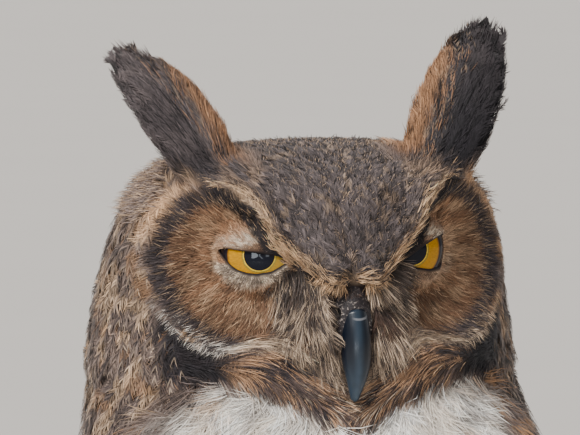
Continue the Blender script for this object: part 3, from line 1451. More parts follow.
class OWL_OT_face(bpy.types.Operator):
    """Grows the facial discs' fine feathers and the short ones on the lids"""

    bl_idname = "owl.face"
    bl_label = "Facial discs"

    def execute(self, context):
        g, c = work.places, tones()
        facing = g.facing < 0.35
        face = smooth(0.6, -0.8, g.over) * smooth(1.06, 0.98, g.reach) * (g.ahead < 4) * facing
        face = face * (g.clear > 0.0006) * smooth(6.0, 9.0, g.out)
        lids = (g.clear < COVERED_FROM) & (g.clear > BARE_TO) & (g.over < 2.4) & facing
        material = coat_material("disc_barbs")
        for name, hand in SIDES.items():
            rng = np.random.default_rng(11 + hand)
            coat = Coat(f"disc_feathers_{name}")
            mine = g.side * hand > 0
            roots = sample(rng, 21000, face * mine * smooth(0.15, 0.35, g.reach) * (1 + smooth(18, 8, g.out)))
            eye = np.hypot(roots.out - EYE_OUT, roots.up * 1.2)
            size = 2.6 + 4.6 * smooth(13, 30, eye)
            lines = roots.combed((0.7, 1.25), (0.17, 0.29), face_flow, 3, 0.20, curl=0.16, scale=size)
            shade = markings(lines[0][:, 2], roots.label)
            pale = roots.chance() < 0.16 * (disc_reach(roots.out, roots.up) < 0.78)
            shade[pale] = mix(shade[pale], c.buff, 0.45)
            shade[roots.chance() < 0.14] *= 0.55
            coat.lay(roots, lines, (0.20, 0.34), shade, (0.50, 0.86, 1.04, 1.12), 0.17)
            # short feathers on the lids, from their bare edge outwards
            roots = sample(rng, 7000, lids * mine * np.where(work.skin.label == "lid", 3.0, 0.8))
            gap = lid_clear(roots.p)
            roots, gap = roots.kept(gap > BARE_TO), gap[gap > BARE_TO]
            _, _, inward, rise = eye_axes(hand)
            plan = eye_plan(hand, roots.p)[0] - LID_MIDDLES[hand]
            away = tangent(unit(plan[:, :1] * inward + plan[:, 1:] * rise), roots.n)
            first = away + roots.n * 0.35 + roots.astray(0.14)
            last = away - roots.n * 0.10 + roots.astray(0.14)
            size = (1.4 + 1.8 * smooth(0.0006, 0.005, gap)) * MM * roots.between(0.7, 1.2)
            lines = sweep(roots, size, first, last, 3)
            shade = markings(lines[0][:, 1], roots.label)
            coat.lay(roots, lines, (0.16, 0.28), shade, (0.5, 0.9, 1.1, 1.2), 0.25)
            coat.finish(material, "rufous")
        return {"FINISHED"}


class OWL_OT_crown(bpy.types.Operator):
    """Grows the barred feathers of the crown and forehead and the pale edge of the brows"""

    bl_idname = "owl.crown"
    bl_label = "Crown"

    def execute(self, context):
        g, c = work.places, tones()
        is_head = label_is("head", "facial", "tuft") | (g.up > -25)
        top = smooth(0.2, 1.6, g.over) * smooth(75, 50, g.ahead) * is_head * ~(g.tufted & (g.up > 27)) * (g.up > -10)
        top = top * smooth(8, 16, g.up + 30 * (g.ahead < 0))
        rng = np.random.default_rng(21)
        material = coat_material("crown_barbs", depth=0.5, size=1700.0)

        def shade(points, which, where):
            freckle = 0.72 + 0.5 * smooth(0.40, 0.62, noise(points, 0.0009, 31))
            tip = 0.62 + 0.55 * smooth(0.45, 0.80, where) - 0.30 * smooth(0.82, 0.97, where)
            return head_marks(points) * (tip * freckle * (0.75 + 0.5 * light[which]))[:, None]

        for name, hand in SIDES.items():
            coat = Coat(f"crown_feathers_{name}")
            mine = top * (g.side * hand > 0)
            roots = sample(rng, 9000, mine, 0.0026)
            lines = roots.combed((6.5, 9.0), (0.10, 0.16), crown_flow, 4, 0.14, curl=0.05)
            light = roots.chance()
            coat.feathers(roots, lines, 0.0024, 12, 0.00028, shade, tilt=0.10)
            roots = sample(rng, 2600, mine, 0.0028)
            lines = roots.combed((2.4, 5.2), (0.42, 0.52), crown_flow, 3, 0.30, curl=0.25)
            coat.lay(roots, lines, (0.22, 0.36), c.crown_dark * 0.30, (1, 1, 1, 1), 0.2, 0.3, 0.5)
            roots = sample(rng, 4500, mine)
            lines = roots.combed((1.2, 2.8), (0.50, 0.70), crown_flow, 3, 0.60, curl=0.6)
            tone = mix(c.crown * 1.7, c.buff * 0.70, roots.chance())
            coat.lay(roots, lines, (0.12, 0.20), tone, (0.6, 1, 1.1, 1.1), 0.3, 0.3, 0.6)
            coat.finish(material, "crown")

        rng = np.random.default_rng(22)
        coat = Coat("brow_feathers")
        line = g.over - np.interp(g.out, (0, 14, 20, 36, 44), (0.0, 0.2, 1.2, 1.6, 1.0))
        line = smooth(-0.8, 0.2, line) * smooth(5.4, 3.0, line) * smooth(46, 40, g.out) * (g.ahead < 0)
        roots = sample(rng, 9600, line * (1 + smooth(30, 15, g.out)))
        out, edge = roots.out, over_brow(roots.out, roots.up)
        size = (3.4 + 4.2 * roots.chance()) * MM
        rise = (0.16 + 0.22 * roots.chance()) * (1 + 0.8 * smooth(32, 18, out) * smooth(1.5, 0.0, edge))
        lines = comb(roots, size, rise, brow_flow, 3, 0.14, curl=0.10)
        wide = np.interp(out, (0, 8, 14, 20, 28, 40), (3.2, 3.0, 2.8, 4.0, 3.6, 2.4))
        fade = smooth(-1.0, 1.0, edge - wide + rng.normal(0, 0.5, len(out)))
        golden = mix(c.buff, c.ochre, 0.30 * roots.chance()) * (0.80 + 0.35 * smooth(10, 18, out))[:, None]
        tone = mix(golden, head_marks(roots.p + (0, 0, 0.004)), fade)
        tone[roots.chance() < 0.08 + 0.26 * smooth(18, 10, out) + 0.2 * smooth(1.5, 3.5, edge)] = c.rim
        coat.lay(roots, lines, (0.20, 0.34), tone, (0.35, 0.75, 1.0, 1.15), 0.28)
        # orange-buff plumes that hang beside the cere
        plume = (g.out > 3.5) * smooth(13, 10, g.out) * smooth(-1.0, 0.3, g.over) * smooth(3.0, 1.5, g.over)
        roots = sample(rng, 900, plume * (g.ahead < 0))
        first = roots.n * 0.8 + rows(roots.side * 0.40, 0, -0.5) + roots.astray(0.20)
        last = rows(roots.side * (0.1 + 0.05 * (roots.out - 5)), 0.05, -1.0) + roots.astray(0.30)
        lines = sweep(roots, roots.between(2.5, 6.5) * MM, first, last, 3)
        tone = mix(c.buff, c.ochre, 0.15 + 0.35 * roots.chance()) * 0.85
        coat.lay(roots, lines, (0.14, 0.24), tone, (0.35, 0.75, 1.0, 1.1), 0.3)
        coat.finish(coat_material("brow_barbs"), "crown")
        return {"FINISHED"}


class OWL_OT_bristles(bpy.types.Operator):
    """Grows the bristles beside the bill and the ruff under the discs"""

    bl_idname = "owl.bristles"
    bl_label = "Bristles and ruff"

    def execute(self, context):
        g, c = work.places, tones()
        material = coat_material("bristle_barbs", 0.66)
        facing = g.facing < 0.5
        zone = facing * smooth(27, 19, g.out) * smooth(0.0, -1.5, g.over) * smooth(-2.0, 1.0, g.up - g.ruff)
        zone = zone * (g.ahead < 0) * (g.clear > 0.001) * (g.up < -2) * (1 + 0.8 * smooth(14, 6, g.out))
        zone = zone * smooth(4.6, 6.2, g.out + 0.32 * np.maximum(-16 - g.up, 0))
        above = g.up - g.bib
        under = facing * smooth(1.5, -0.5, g.up - g.ruff) * smooth(-4.0, 0.0, above) * (g.ahead < 6)
        hang = facing * smooth(-1.0, 0.5, above) * smooth(5.0, 3.0, above) * (g.ahead < 6) * smooth(62, 50, g.out)
        shafts = facing * smooth(3.5, 6.0, g.ruff - g.up) * smooth(2.0, 5.0, above) * (g.ahead < 3)
        for name, hand in SIDES.items():
            rng = np.random.default_rng(41 + hand)
            mine = g.side * hand > 0
            coat = Coat(f"bristles_{name}")
            corner = np.minimum(1.5 * inner_corner(g.out, g.up, hand), 1)
            roots = sample(rng, 8000, zone * mine * (1 - 0.85 * corner))
            out, up = roots.out, roots.up
            fan = bristle_fan(out, up, hand)
            way = mix(rows(hand * fan[:, 0], -0.15, fan[:, 1]), np.array((0.0, -0.1, -1.0)), 0.75 * smooth(10, 5, out))
            first = unit(way) + roots.n * 0.45 + roots.astray(0.10)
            last = unit(way) - (0, 0, 0.25) + roots.astray(0.13)
            size = np.interp(out, (4, 8, 13, 20, 27), (6, 9, 11, 9, 6)) * roots.between(0.6, 1.15) * MM
            if hand < 0:
                lines = comb(roots, size, 0.30 + 0.22 * roots.chance(), bristle_flow, 4, 0.12, curl=0.10)
            else:
                lines = sweep(roots, size, first, last, 4, 0.8)
            lock = noise(roots.p * (1.0, 1.0, 0.3), 0.0009, 41) + rng.normal(0, 0.10, roots.count)
            tip_out, _, tip_up, _ = head_place(lines[0][:, 3])
            lock -= 0.6 * np.maximum(inner_corner(out, up, hand), 0.8 * inner_corner(tip_out, tip_up, hand))
            shade = mix(c.bristle, c.buff, 0.25) * (0.85 if hand < 0 else 1.2)
            shade = mix(shade, c.rim, 0.9 * smooth(0.57, 0.43, lock))
            shade = mix(shade, c.umber, 0.5 * (roots.chance() < 0.2))
            coat.lay(roots, lines, (0.16, 0.28), shade, (0.25, 0.5, 0.85, 1.1, 1.2))
            coat.finish(material, "plumage")

            coat = Coat(f"ruff_{name}")
            roots = sample(rng, 10500, under * mine * smooth(66, 60, g.out))
            size = 1 - 0.40 * smooth(42, 58, roots.out)
            lines = roots.combed((6, 15), (0.10, 0.26), ruff_flow, 4, 0.09, curl=0.12, scale=size)
            shade = head_marks(lines[0][:, 1])
            shade = mix(shade, c.crown_dark, 0.7 * (roots.chance() < 0.18))
            shade = mix(shade, c.cream, 0.6 * (roots.chance() < 0.10) * smooth(30, 18, roots.out))
            coat.lay(roots, lines, (0.20, 0.36), shade, (0.30, 0.6, 0.98, 1.1, 1.2), 0.25)
            # loose tips that hang over the bib's upper edge
            roots = sample(rng, 900, hang * mine)
            first = roots.n * 0.45 + rows(-roots.side * 0.5, 0, -0.8) + roots.astray(0.16)
            last = rows(-roots.side * 0.15, 0.15, -1.0) + roots.astray(0.25)
            lines = sweep(roots, roots.between(3.5, 7.5) * MM, first, last, 4)
            shade = mix(c.umber, c.crown_dark, roots.chance()) * 0.8
            coat.lay(roots, lines, (0.25, 0.45), shade, (0.5, 0.8, 1.0, 1.1, 1.2), 0.3)
            # bare shafts in the gaps
            roots = sample(rng, 400, shafts * mine * smooth(54, 42, g.out) * (g.out > 10))
            lines = roots.combed((7, 15), (0.10, 0.20), ruff_flow, 6, 0.07, curl=0.10)
            shade = mix(c.orange, c.buff, 0.6 * roots.chance()) * 1.12
            coat.lay(roots, lines, (0.28, 0.50), shade, (0.4, 0.8, 1.0, 1.05, 1.0, 0.9, 0.7), 0.25, 0.3, 0.35)
            coat.finish(material, "plumage")
        return {"FINISHED"}


class OWL_OT_tufts(bpy.types.Operator):
    """Grows the ear tufts: dark blades with a loose rufous fringe"""

    bl_idname = "owl.tufts"
    bl_label = "Ear tufts"

    def execute(self, context):
        g, c = work.places, tones()
        zone = smooth(0.020, 0.016, g.away) * (g.up > 24)
        blade = zone * smooth(0.80, 0.70, g.along) * smooth(0.06, 0.12, g.along)
        blade = blade * (g.inner < 0.0065) * (g.inner > -0.0085)
        ink = c.rim * 0.25
        material = coat_material("tuft_barbs", 0.7, depth=0.5, size=1100.0)

        def shade(points, which, where):
            inner = tuft_station(points)[2]
            odd = rng.random(len(points))
            base = mix(head_marks(points), c.buff, 0.16 * (odd < 0.35 * smooth(-0.001, 0.006, inner)))
            grain = rng.random(len(points)) * 0.75 + noise(points, 0.0035, 53) * 0.25
            return base * (0.55 + 0.9 * grain)[:, None] * (0.85 + 0.3 * light[which])[:, None]

        for name, hand in SIDES.items():
            rng = np.random.default_rng(51 + hand)
            mine = g.side * hand > 0
            coat = Coat(f"tuft_feathers_{name}")
            loose = zone * smooth(0.95, 0.88, g.along) * (1 + 1.6 * smooth(0.003, 0.009, g.inner))
            roots = sample(rng, 9000, loose * mine)
            place, _, inner = tuft_station(roots.p)
            size = (5 + 5 * roots.chance()) * MM * (1 - 0.15 * smooth(0.70, 0.95, place))
            lift = 0.08 + 0.12 * roots.chance() + 0.10 * smooth(0.004, 0.009, inner)
            path, ups = comb(roots, size, lift, tuft_flow, 3, 0.12, curl=0.10)
            on = unit(tuft_flow(roots.p)) + roots.astray(0.08)
            free = sweep(roots, size, on + roots.n * 0.22, on - roots.n * 0.10, 3)[0]
            path = np.where((place > 0.78)[:, None, None], free, path)
            tone = markings(path[:, 1], roots.label)
            speckled = (roots.chance() < 0.5 * smooth(-0.001, 0.005, inner)) & (place > 0.1) & (place < 0.7)
            tone[speckled] = mix(tone[speckled], c.rufous, 0.7)
            coat.lay(roots, (path, ups), (0.18, 0.32), tone, (0.5, 0.85, 1.1, 1.3), 0.35)
            coat.finish(material, "tuft")

            coat = Coat(f"tuft_blades_{name}")
            roots = sample(rng, 1800, blade * mine, 0.0036)
            place = tuft_station(roots.p)[0]
            size = np.minimum(roots.between(14, 20), (1.0 - place) * 58) * MM
            lines = comb(roots, size, 0.05 + 0.05 * roots.chance(), tuft_flow, 6, 0.06, curl=0.04)
            light = roots.chance()
            coat.feathers(roots, lines, 0.0027, 18, 0.00040, shade, ink, 0.04, 0.7, 0.04)
            # a few long bare shafts
            bare = blade * mine * (np.abs(g.inner) < 0.005) * smooth(0.6, 0.5, g.along)
            roots = sample(rng, 40, bare, 0.007)
            lines = roots.combed((16, 24), (0.085, 0.105), tuft_flow, 7, 0.03)
            tone = np.broadcast_to(ink * 0.6, lines[0].shape)
            coat.strands(roots, lines, np.full(roots.count, 0.00034), tone, 0.1, 0.5)
            coat.finish(material, "tuft")
        return {"FINISHED"}


class OWL_OT_neck(bpy.types.Operator):
    """Grows the mottled feathers of the neck and the loose white bib"""

    bl_idname = "owl.neck"
    bl_label = "Neck and bib"

    def execute(self, context):
        g, c = work.places, tones()
        is_neck, is_head = label_is("neck", "throat"), label_is("head", "facial")
        chin = g.middles - np.array((0.0, -0.030, 0.350))
        bib = smooth(1.15, 0.92, np.hypot(chin[:, 0] / 0.064, chin[:, 2] / 0.033)) * (g.middles[:, 1] < 0.010)
        bib = bib * smooth(1.5, -0.5, g.up - g.bib)
        collar = (is_neck + is_head * smooth(1.02, 1.08, g.reach) * (g.over < 6)) * (1 - bib)
        collar = collar + is_head * smooth(20, 34, g.ahead) * (g.up < 26)
        collar = collar * ~((g.out < 26) & (g.ahead < -22) & (g.up > -62))
        ruff = (g.up < g.ruff + 2) & (g.up > g.bib - 1) & (g.ahead < 0) & (g.out < 58)
        collar = np.clip(collar, 0, 1) * smooth(0.285, 0.312, g.middles[:, 2]) * ~g.tufted * ~ruff
        fluff = smooth(1.04, 1.12, g.reach) * smooth(1.45, 1.30, g.reach) * smooth(8, 16, g.up) * smooth(40, 30, g.up)
        fluff = fluff * (g.out > 48) * (g.ahead < 30) * np.where(g.side < 0, 1.0, 0.25) * ~g.tufted
        tips = mix(c.buff, c.cream, 0.5) * 0.75

        def shade(points, which, where):
            base = markings(points, np.full(len(points), "neck"))
            bar = bell((where - start[which] - 0.12) / 0.09) + bell((where - start[which] - 0.42) / 0.07)
            base = layered(
                base,
                (c.ochre, 0.30 * warm[which] * smooth(0.6, 0.2, where)),
                (c.crown_dark, 0.62 * np.minimum(bar, 1)),
                (tips, 0.55 * smooth(0.84, 0.95, where) * (light[which] > 0.4)),
            )
            freckle = noise(points, 0.0012, 33)
            return base * (0.68 + 0.60 * smooth(0.38, 0.62, freckle))[:, None] * (0.84 + 0.32 * light[which])[:, None]

        material = coat_material("neck_barbs", depth=0.5, size=1300.0)
        for part, keep, barb_count, seed in (("front", g.ahead < 25, 8, 61), ("back", g.ahead >= 25, 6, 62)):
            rng = np.random.default_rng(seed)
            coat = Coat(f"neck_feathers_{part}")
            roots = sample(rng, 8600, collar * keep, 0.0033)
            size = 1 + 0.55 * smooth(-30, -80, roots.up)
            lines = roots.combed((5.5, 9.0), (0.15, 0.27), down_flow, 3, 0.26, curl=0.12, scale=size)
            light, start = roots.chance(), roots.between(0.30, 0.50)
            warm = roots.chance() < 0.25
            coat.feathers(roots, lines, 0.0034, barb_count, 0.0037 / barb_count, shade, c.crown_dark * 0.7)
            if part == "front":
                # loose grey down that stands off behind the disc's upper rim
                roots = sample(rng, 2600, fluff)
                first = roots.n * 0.9 + rows(roots.side * 0.6, 0.1, 0.25) + roots.astray(0.25)
                last = rows(roots.side * 0.9, 0.3, -0.35) + roots.astray(0.30)
                lines = sweep(roots, roots.between(3.5, 7.5) * MM, first, last, 3)
                down = mix(c.crown * 1.5, c.buff, 0.5 * (roots.chance() < 0.35) + 0.1)
                coat.lay(roots, lines, (0.20, 0.34), down, (0.5, 0.85, 1.1, 1.2), 0.25)
            coat.finish(material, "plumage")

        rng = np.random.default_rng(63)
        coat = Coat("bib_feathers")
        roots = sample(rng, 21000, bib)
        lines = roots.combed((9, 18), (0.18, 0.34), bib_flow, 3, 0.12, curl=0.20, locks=1.3)
        clump = noise(roots.p * (1, 1, 0.4), 0.0045, 35)
        edge = np.maximum(smooth(24, 50, roots.out), smooth(-64, -80, roots.up))
        tone = layered(
            markings(lines[0][:, 2], roots.label),
            (c.crown * 1.3, 0.75 * smooth(0.56, 0.70, clump) * (0.35 + 0.65 * edge)),
            (c.ochre * 1.2, 0.5 * smooth(0.58, 0.72, noise(roots.p, 0.007, 36)) * edge),
        )
        coat.lay(roots, lines, (0.22, 0.44), tone, (0.6, 0.9, 1.04, 1.08), 0.12)
        coat.finish(coat_material("bib_barbs", 0.8, 0.2, 0.15), "white")
        return {"FINISHED"}


class OWL_OT_body(bpy.types.Operator):
    """Grows the barred breast, the back and the soft legs"""

    bl_idname = "owl.body"
    bl_label = "Body and legs"

    def execute(self, context):
        middles, c = work.places.middles, tones()
        rng = np.random.default_rng(71)
        front = middles[:, 1] + 0.25 * np.abs(middles[:, 0]) < 0.005
        low = label_is("trunk", "neck", "throat") * smooth(0.330, 0.312, middles[:, 2])
        for part, keep, count, width in (("breast", front, 3.3, 0.30), ("back", ~front, 2.4, 0.45)):
            coat = Coat(f"{part}_feathers")
            roots = sample(rng, 7500, low * keep, 0.0070)
            lines = roots.combed((22, 30), (0.16, 0.24), down_flow, 5, 0.12, curl=0.05)
            tone = graded(roots, markings(lines[0][:, 3], roots.label), (0.7, 0.85, 1.0, 1.05, 1.1, 1.1), 0.14)
            coat.vane_set(roots, lines, roots.between(5.6, 7.8) * MM, tone, 0.16, 0.14)
            coat.finish(vane_material(f"{part}_vanes", count, width, tuple(c.crown_dark * 1.1), 0.35), "barred")

        coat = Coat("leg_feathers")
        for name, count, size, wide, flow in (
            ("thigh", 6000, 11.0, 0.80, leg_flow), ("tarsus", 4200, 6.0, 0.54, leg_flow),
            ("foot", 6400, 3.4, 0.50, foot_flow),
        ):
            roots = sample(rng, count, label_is(name) * (middles[:, 2] > 0.0022))
            path, ups = roots.combed((0.7, 1.2), (0.20, 0.35), flow, 3, 0.2, curl=0.12, scale=size)
            path[:, :, 2] = np.maximum(path[:, :, 2], LEAST_HEIGHT)
            shade = markings(roots.p, roots.label)
            coat.lay(roots, (path, ups), (0.8 * wide, 1.2 * wide), shade, (0.55, 0.85, 1.05, 1.15), 0.15)
        coat.finish(coat_material("leg_barbs", 0.8, 0.15), "leg")
        return {"FINISHED"}


class OWL_OT_wings(bpy.types.Operator):
    """Lays the coverts and flight feathers of the folded wings and the tail"""

    bl_idname = "owl.wings"
    bl_label = "Wings and tail"

    def execute(self, context):
        g, dark = work.places, tuple(tones().crown_dark)
        covert = vane_material("covert_vanes", 2.4, 0.42, dark, 0.6)
        flight = vane_material("flight_vanes", 4.5, 0.42, dark, 0.5, 110.0)

        def barred(roots):
            """Where the bars of a flight feather begin, so that they line up with its neighbours'."""
            return -roots.p[:, 2] / BAR_SPACING + roots.rng.normal(0, 0.05, roots.count)

        for name, hand in SIDES.items():
            rng = np.random.default_rng(81 + hand)
            mine = g.side * hand > 0
            outward = work.skin.normal[:, 0] * hand
            coat = Coat(f"wing_coverts_{name}")
            coverts = label_is(f"wing_{name}_coverts") * mine
            for share, spacing, low, high, wide in (
                (smooth(0.30, 0.50, outward), 0.0075, 20, 30, 6.5), (smooth(0.50, 0.30, outward), 0.0060, 14, 20, 3.6),
            ):
                roots = sample(rng, 3600, coverts * share, spacing)
                lines = roots.combed((low, high), (0.07, 0.12), wing_flow, 5, 0.08)
                half = wide * roots.between(0.85, 1.2) * MM
                tone = graded(roots, markings(lines[0][:, 3], roots.label), (0.6, 0.8, 1.0, 1.05, 1.1, 1.15))
                coat.vane_set(roots, lines, half, tone, 0.12, 0.08)
            coat.finish(covert, "wing")

            coat = Coat(f"wing_flights_{name}")
            for row, spacing, wide in (("secondaries", 0.0105, 8.5), ("primaries", 0.0095, 7.0)):
                flights = label_is(f"wing_{name}_{row}") * mine
                for share, thin, segments in (
                    (smooth(0.25, 0.45, outward), 1.0, 10), (smooth(0.45, 0.25, outward), 0.36, 5),
                ):
                    roots = sample(rng, 2600, flights * share, spacing * (0.4 + 0.6 * thin))
                    reach = np.full(roots.count, 72.0 * MM * thin)
                    path, ups = comb(roots, reach, 0.022 + 0.02 * roots.chance(), wing_flow, segments, 0.02)
                    path[:, :, 2] = np.maximum(path[:, :, 2], LEAST_TIP_HEIGHT)
                    phase = barred(roots)
                    half = wide * thin * roots.between(0.9, 1.1) * MM
                    ends = np.linspace(0.85, 1.1, segments + 1)
                    tone = graded(roots, markings(path[:, 4], roots.label), ends, 0.12)
                    coat.vane_set(roots, (path, ups), half, tone, 0.08, 0.03, 0.25, phase, thin)
            coat.finish(flight, "wing")

        rng = np.random.default_rng(91)
        coat = Coat("tail_feathers")
        tail = label_is("tail") * (g.middles[:, 2] > 0.05) * smooth(0.35, 0.6, np.abs(g.facing))
        roots = sample(rng, 5000, tail, 0.011)
        reach = np.minimum(roots.between(60, 85) * MM, (roots.p[:, 2] - 0.010) / 0.93)
        lines = comb(roots, reach, 0.02 + 0.015 * roots.chance(), tail_flow, 10, 0.03)
        phase = barred(roots)
        half = roots.between(8, 10) * MM
        tone = graded(roots, markings(lines[0][:, 5], roots.label), np.linspace(0.85, 1.1, 11), 0.1)
        coat.vane_set(roots, lines, half, tone, 0.05, 0.02, 0.1, phase)
        coat.finish(flight, "wing")
        return {"FINISHED"}


# ---- eyes, bill and claws ----
def eye_material(settings):
    material, tree, _ = new_material("eye_surface", 0.30, 0.05)
    tree.set(IOR=1.376, Coat_Weight=1.0, Coat_Roughness=0.015, Coat_IOR=1.26)
    spot = tree.attribute("eye_place", "Vector")
    across, rise, _ = spot.split()
    plan = tree.add("CombineXYZ", X=across, Y=rise)[0]
    away, way = plan.vector("LENGTH")[1], plan.vector("NORMALIZE")[0]
    rays_at = way.vector("MULTIPLY_ADD", (7.0, 7.0, 7.0), tree.add("CombineXYZ", Z=away * 0.35)[0])[0]
    rays = tree.noise(rays_at, 2.2, 4.0, 0.65)
    ragged = away + (tree.noise(spot, 0.55, 3.0) - 0.5) * 0.7
    iris, gold = settings.iris_radius / MM, tuple(settings.iris)
    pupil = settings.pupil_radius / MM
    edge, bright = pupil / iris, srgb(232, 190, 50)
    ringed = tree.ramp(
        ragged / iris, (edge, bright), (edge + 0.018, bright), (edge + 0.04, srgb(122, 112, 44)),
        (edge + 0.10, gold), (0.92, gold), (1.0, srgb(120, 74, 14)),
    )
    streaked = ringed.scaled(rays + 0.48)
    coloured = tree.mixed(across.ranged(1.0, 9.0, 0.0, 0.55), streaked, srgb(152, 140, 66))
    dark = tree.mixed(away.ranged(pupil - 0.06, pupil + 0.06, 1.0, 0.0), coloured, srgb(7, 11, 24))
    tree.set(Base_Color=tree.mixed(away.ranged(iris - 0.25, iris + 0.2), dark, srgb(20, 16, 24)))
    tree.bump(rays, 0.05, 0.0002)
    return material


class OWL_OT_eyes(bpy.types.Operator):
    """Makes the eyes, with a bulging cornea, golden iris and dark pupil"""

    bl_idname = "owl.eyes"
    bl_label = "Eyes"

    def execute(self, context):
        material = eye_material(context.scene.owl_eyes)
        around, behind = 80, 0.001
        fine, steps = eye_profile()
        front = sampled(np.linspace(0, steps[-1], 46)[1:], steps, fine)
        angle = np.linspace(math.pi / 2, math.pi, 16)[1:-1]
        back = rows(EYE_RADIUS * np.sin(angle), EYE_RADIUS * np.cos(angle) - behind)
        away, reach = np.concatenate([front, back]).T[:, :, None]
        turn = np.linspace(0, 2 * math.pi, around, endpoint=False)
        ball = rows(away * np.cos(turn), away * np.sin(turn), reach).reshape(-1, 3)
        ball = np.concatenate([[[0, 0, fine[0, 1]]], ball, [[0, 0, -EYE_RADIUS - behind]]])
        faces = [band(len(away), around, 1), caps(len(away), around)]
        for name, side in SIDES.items():
            centre, ahead, inward, up = eye_axes(side)
            points = centre + ball[:, :1] * inward + ball[:, 1:2] * up + ball[:, 2:] * ahead
            mine = faces if side > 0 else [some[:, ::-1] for some in faces]
            piece, _ = mesh_from(f"eye_ball_{name}", posed(points), mine, material)
            store_vectors(piece.data, "eye_place", (ball - (GAZE_SHIFT[side], 0, 0)) / MM)
            settle(piece, "eye", f"eye_{name}")
        return {"FINISHED"}


def bill_rings(sections, stations, around, form):
    """Rings of points along a mandible, as (stations, around, 3), and what they were made from."""
    table = np.array(sections)
    places = np.linspace(0, len(table) - 1, stations)
    slopes = np.gradient(table, axis=0)
    low = np.clip(places.astype(int), 0, len(table) - 2)
    t = (places - low)[:, None]
    a, b, da, db = table[low], table[low + 1], slopes[low], slopes[low + 1]
    row = (2 * t**3 - 3 * t**2 + 1) * a + (t**3 - 2 * t**2 + t) * da + (3 * t**2 - 2 * t**3) * b + (t**3 - t**2) * db
    centre = rows(0, row[:, 0], EYE_LEVEL + row[:, 1])
    along = unit(np.gradient(centre, axis=0))
    sideways = np.array((1.0, 0, 0))
    upright = unit(np.cross(sideways, along))
    turn = np.linspace(0, 2 * math.pi, around, endpoint=False)
    wide, tall = form(turn)
    rings = centre[:, None] + sideways * (row[:, 2:3] * wide)[..., None]
    rings = rings + upright[:, None] * (row[:, 3:4] * tall)[..., None]
    return rings, centre, centre[-1] + along[-1] * 0.0012, places / (len(table) - 1), turn


def ring_mesh(name, rings, material, places, turn, slot, replaced, tip=None, on_head=True):
    """A closed piece from rings, with its own across and along coordinates."""
    count, around = rings.shape[:2]
    last = rings[-1].mean(0) if tip is None else tip
    points = np.concatenate([[rings[0].mean(0)], rings.reshape(-1, 3), [last]])
    points = posed(points, True) if on_head else points + SHIFT
    piece, _ = mesh_from(name, points, [band(count, around, 1), caps(count, around)], material)
    vane = rows(np.sin(turn), places[:, None], np.cos(turn)).reshape(-1, 3)
    store_vectors(piece.data, "vane", np.concatenate([[[0, places[0], 0]], vane, [[0, places[-1], 0]]]))
    shell = bmesh.new()
    shell.from_mesh(piece.data)
    bmesh.ops.recalc_face_normals(shell, faces=shell.faces)
    shell.to_mesh(piece.data)
    shell.free()
    settle(piece, slot, replaced)


def horn_material(base):
    """Dark horn, paler down its middle and at its worn tip, with one crescent scratch."""
    material, tree, place = new_material("horn", 0.30, 0.3)
    tree.set(Coat_Weight=0.15, Coat_Roughness=0.2)
    vane = tree.attribute("vane", "Vector")
    across, along, _ = vane.split()
    grain = tree.noise(vane.vector("MULTIPLY", (9.0, 1.6, 9.0))[0], 1.0, 5.0, 0.6)
    patch = tree.noise(place, 160.0, 3.0)
    shade = tree.mixed(grain, tuple(c * 0.35 for c in base), base)
    middle = abs(across + 0.12).ranged(0.50, 0.0, soft=True)
    worn = (middle * 0.26 + along.ranged(0.62, 0.95, soft=True) * 0.46) * (patch + 0.45)
    curved = abs(across) ** 2.0 * 0.06
    crescent = abs(along + curved - 0.466).ranged(0.009, 0.003, soft=True)
    scratch = crescent * abs(across - 0.1).ranged(0.55, 0.3) * 0.45
    tree.set(Base_Color=tree.mixed(scratch, tree.mixed(worn, shade, srgb(70, 90, 108)), srgb(150, 150, 154)))
    tree.set(Roughness=patch * 0.25 + 0.22)
    tree.bump(grain, 0.25, 0.0004)
    return material


def cere_material(base):
    """Bare scurfy skin with dark nostrils."""
    material, tree, place = new_material("cere_skin", 0.55, 0.4)
    folds = tree.noise(place, 900.0, 5.0, 0.7)
    cells = tree.add("TexVoronoi", {"feature": "DISTANCE_TO_EDGE"}, Vector=place, Scale=700.0)[0]
    toned = tree.mixed(cells, tuple(c * 0.5 for c in base), tuple(c * 1.6 for c in base))
    _, along, rise = tree.attribute("vane", "Vector").split()
    nostril = abs((along - 0.400) / 0.042) ** 2.0 + abs((rise + 0.36) / 0.26) ** 2.0
    scurf = folds.ranged(0.56, 0.72) * along.ranged(0.30, 0.42, 0.22, 1.25)
    crusted = tree.mixed(scurf, toned, srgb(196, 182, 172))
    tree.set(Base_Color=tree.mixed(nostril.ranged(1.2, 0.6, soft=True), crusted, srgb(10, 8, 9)))
    tree.bump(folds + cells, 0.6, 0.0006)
    return material


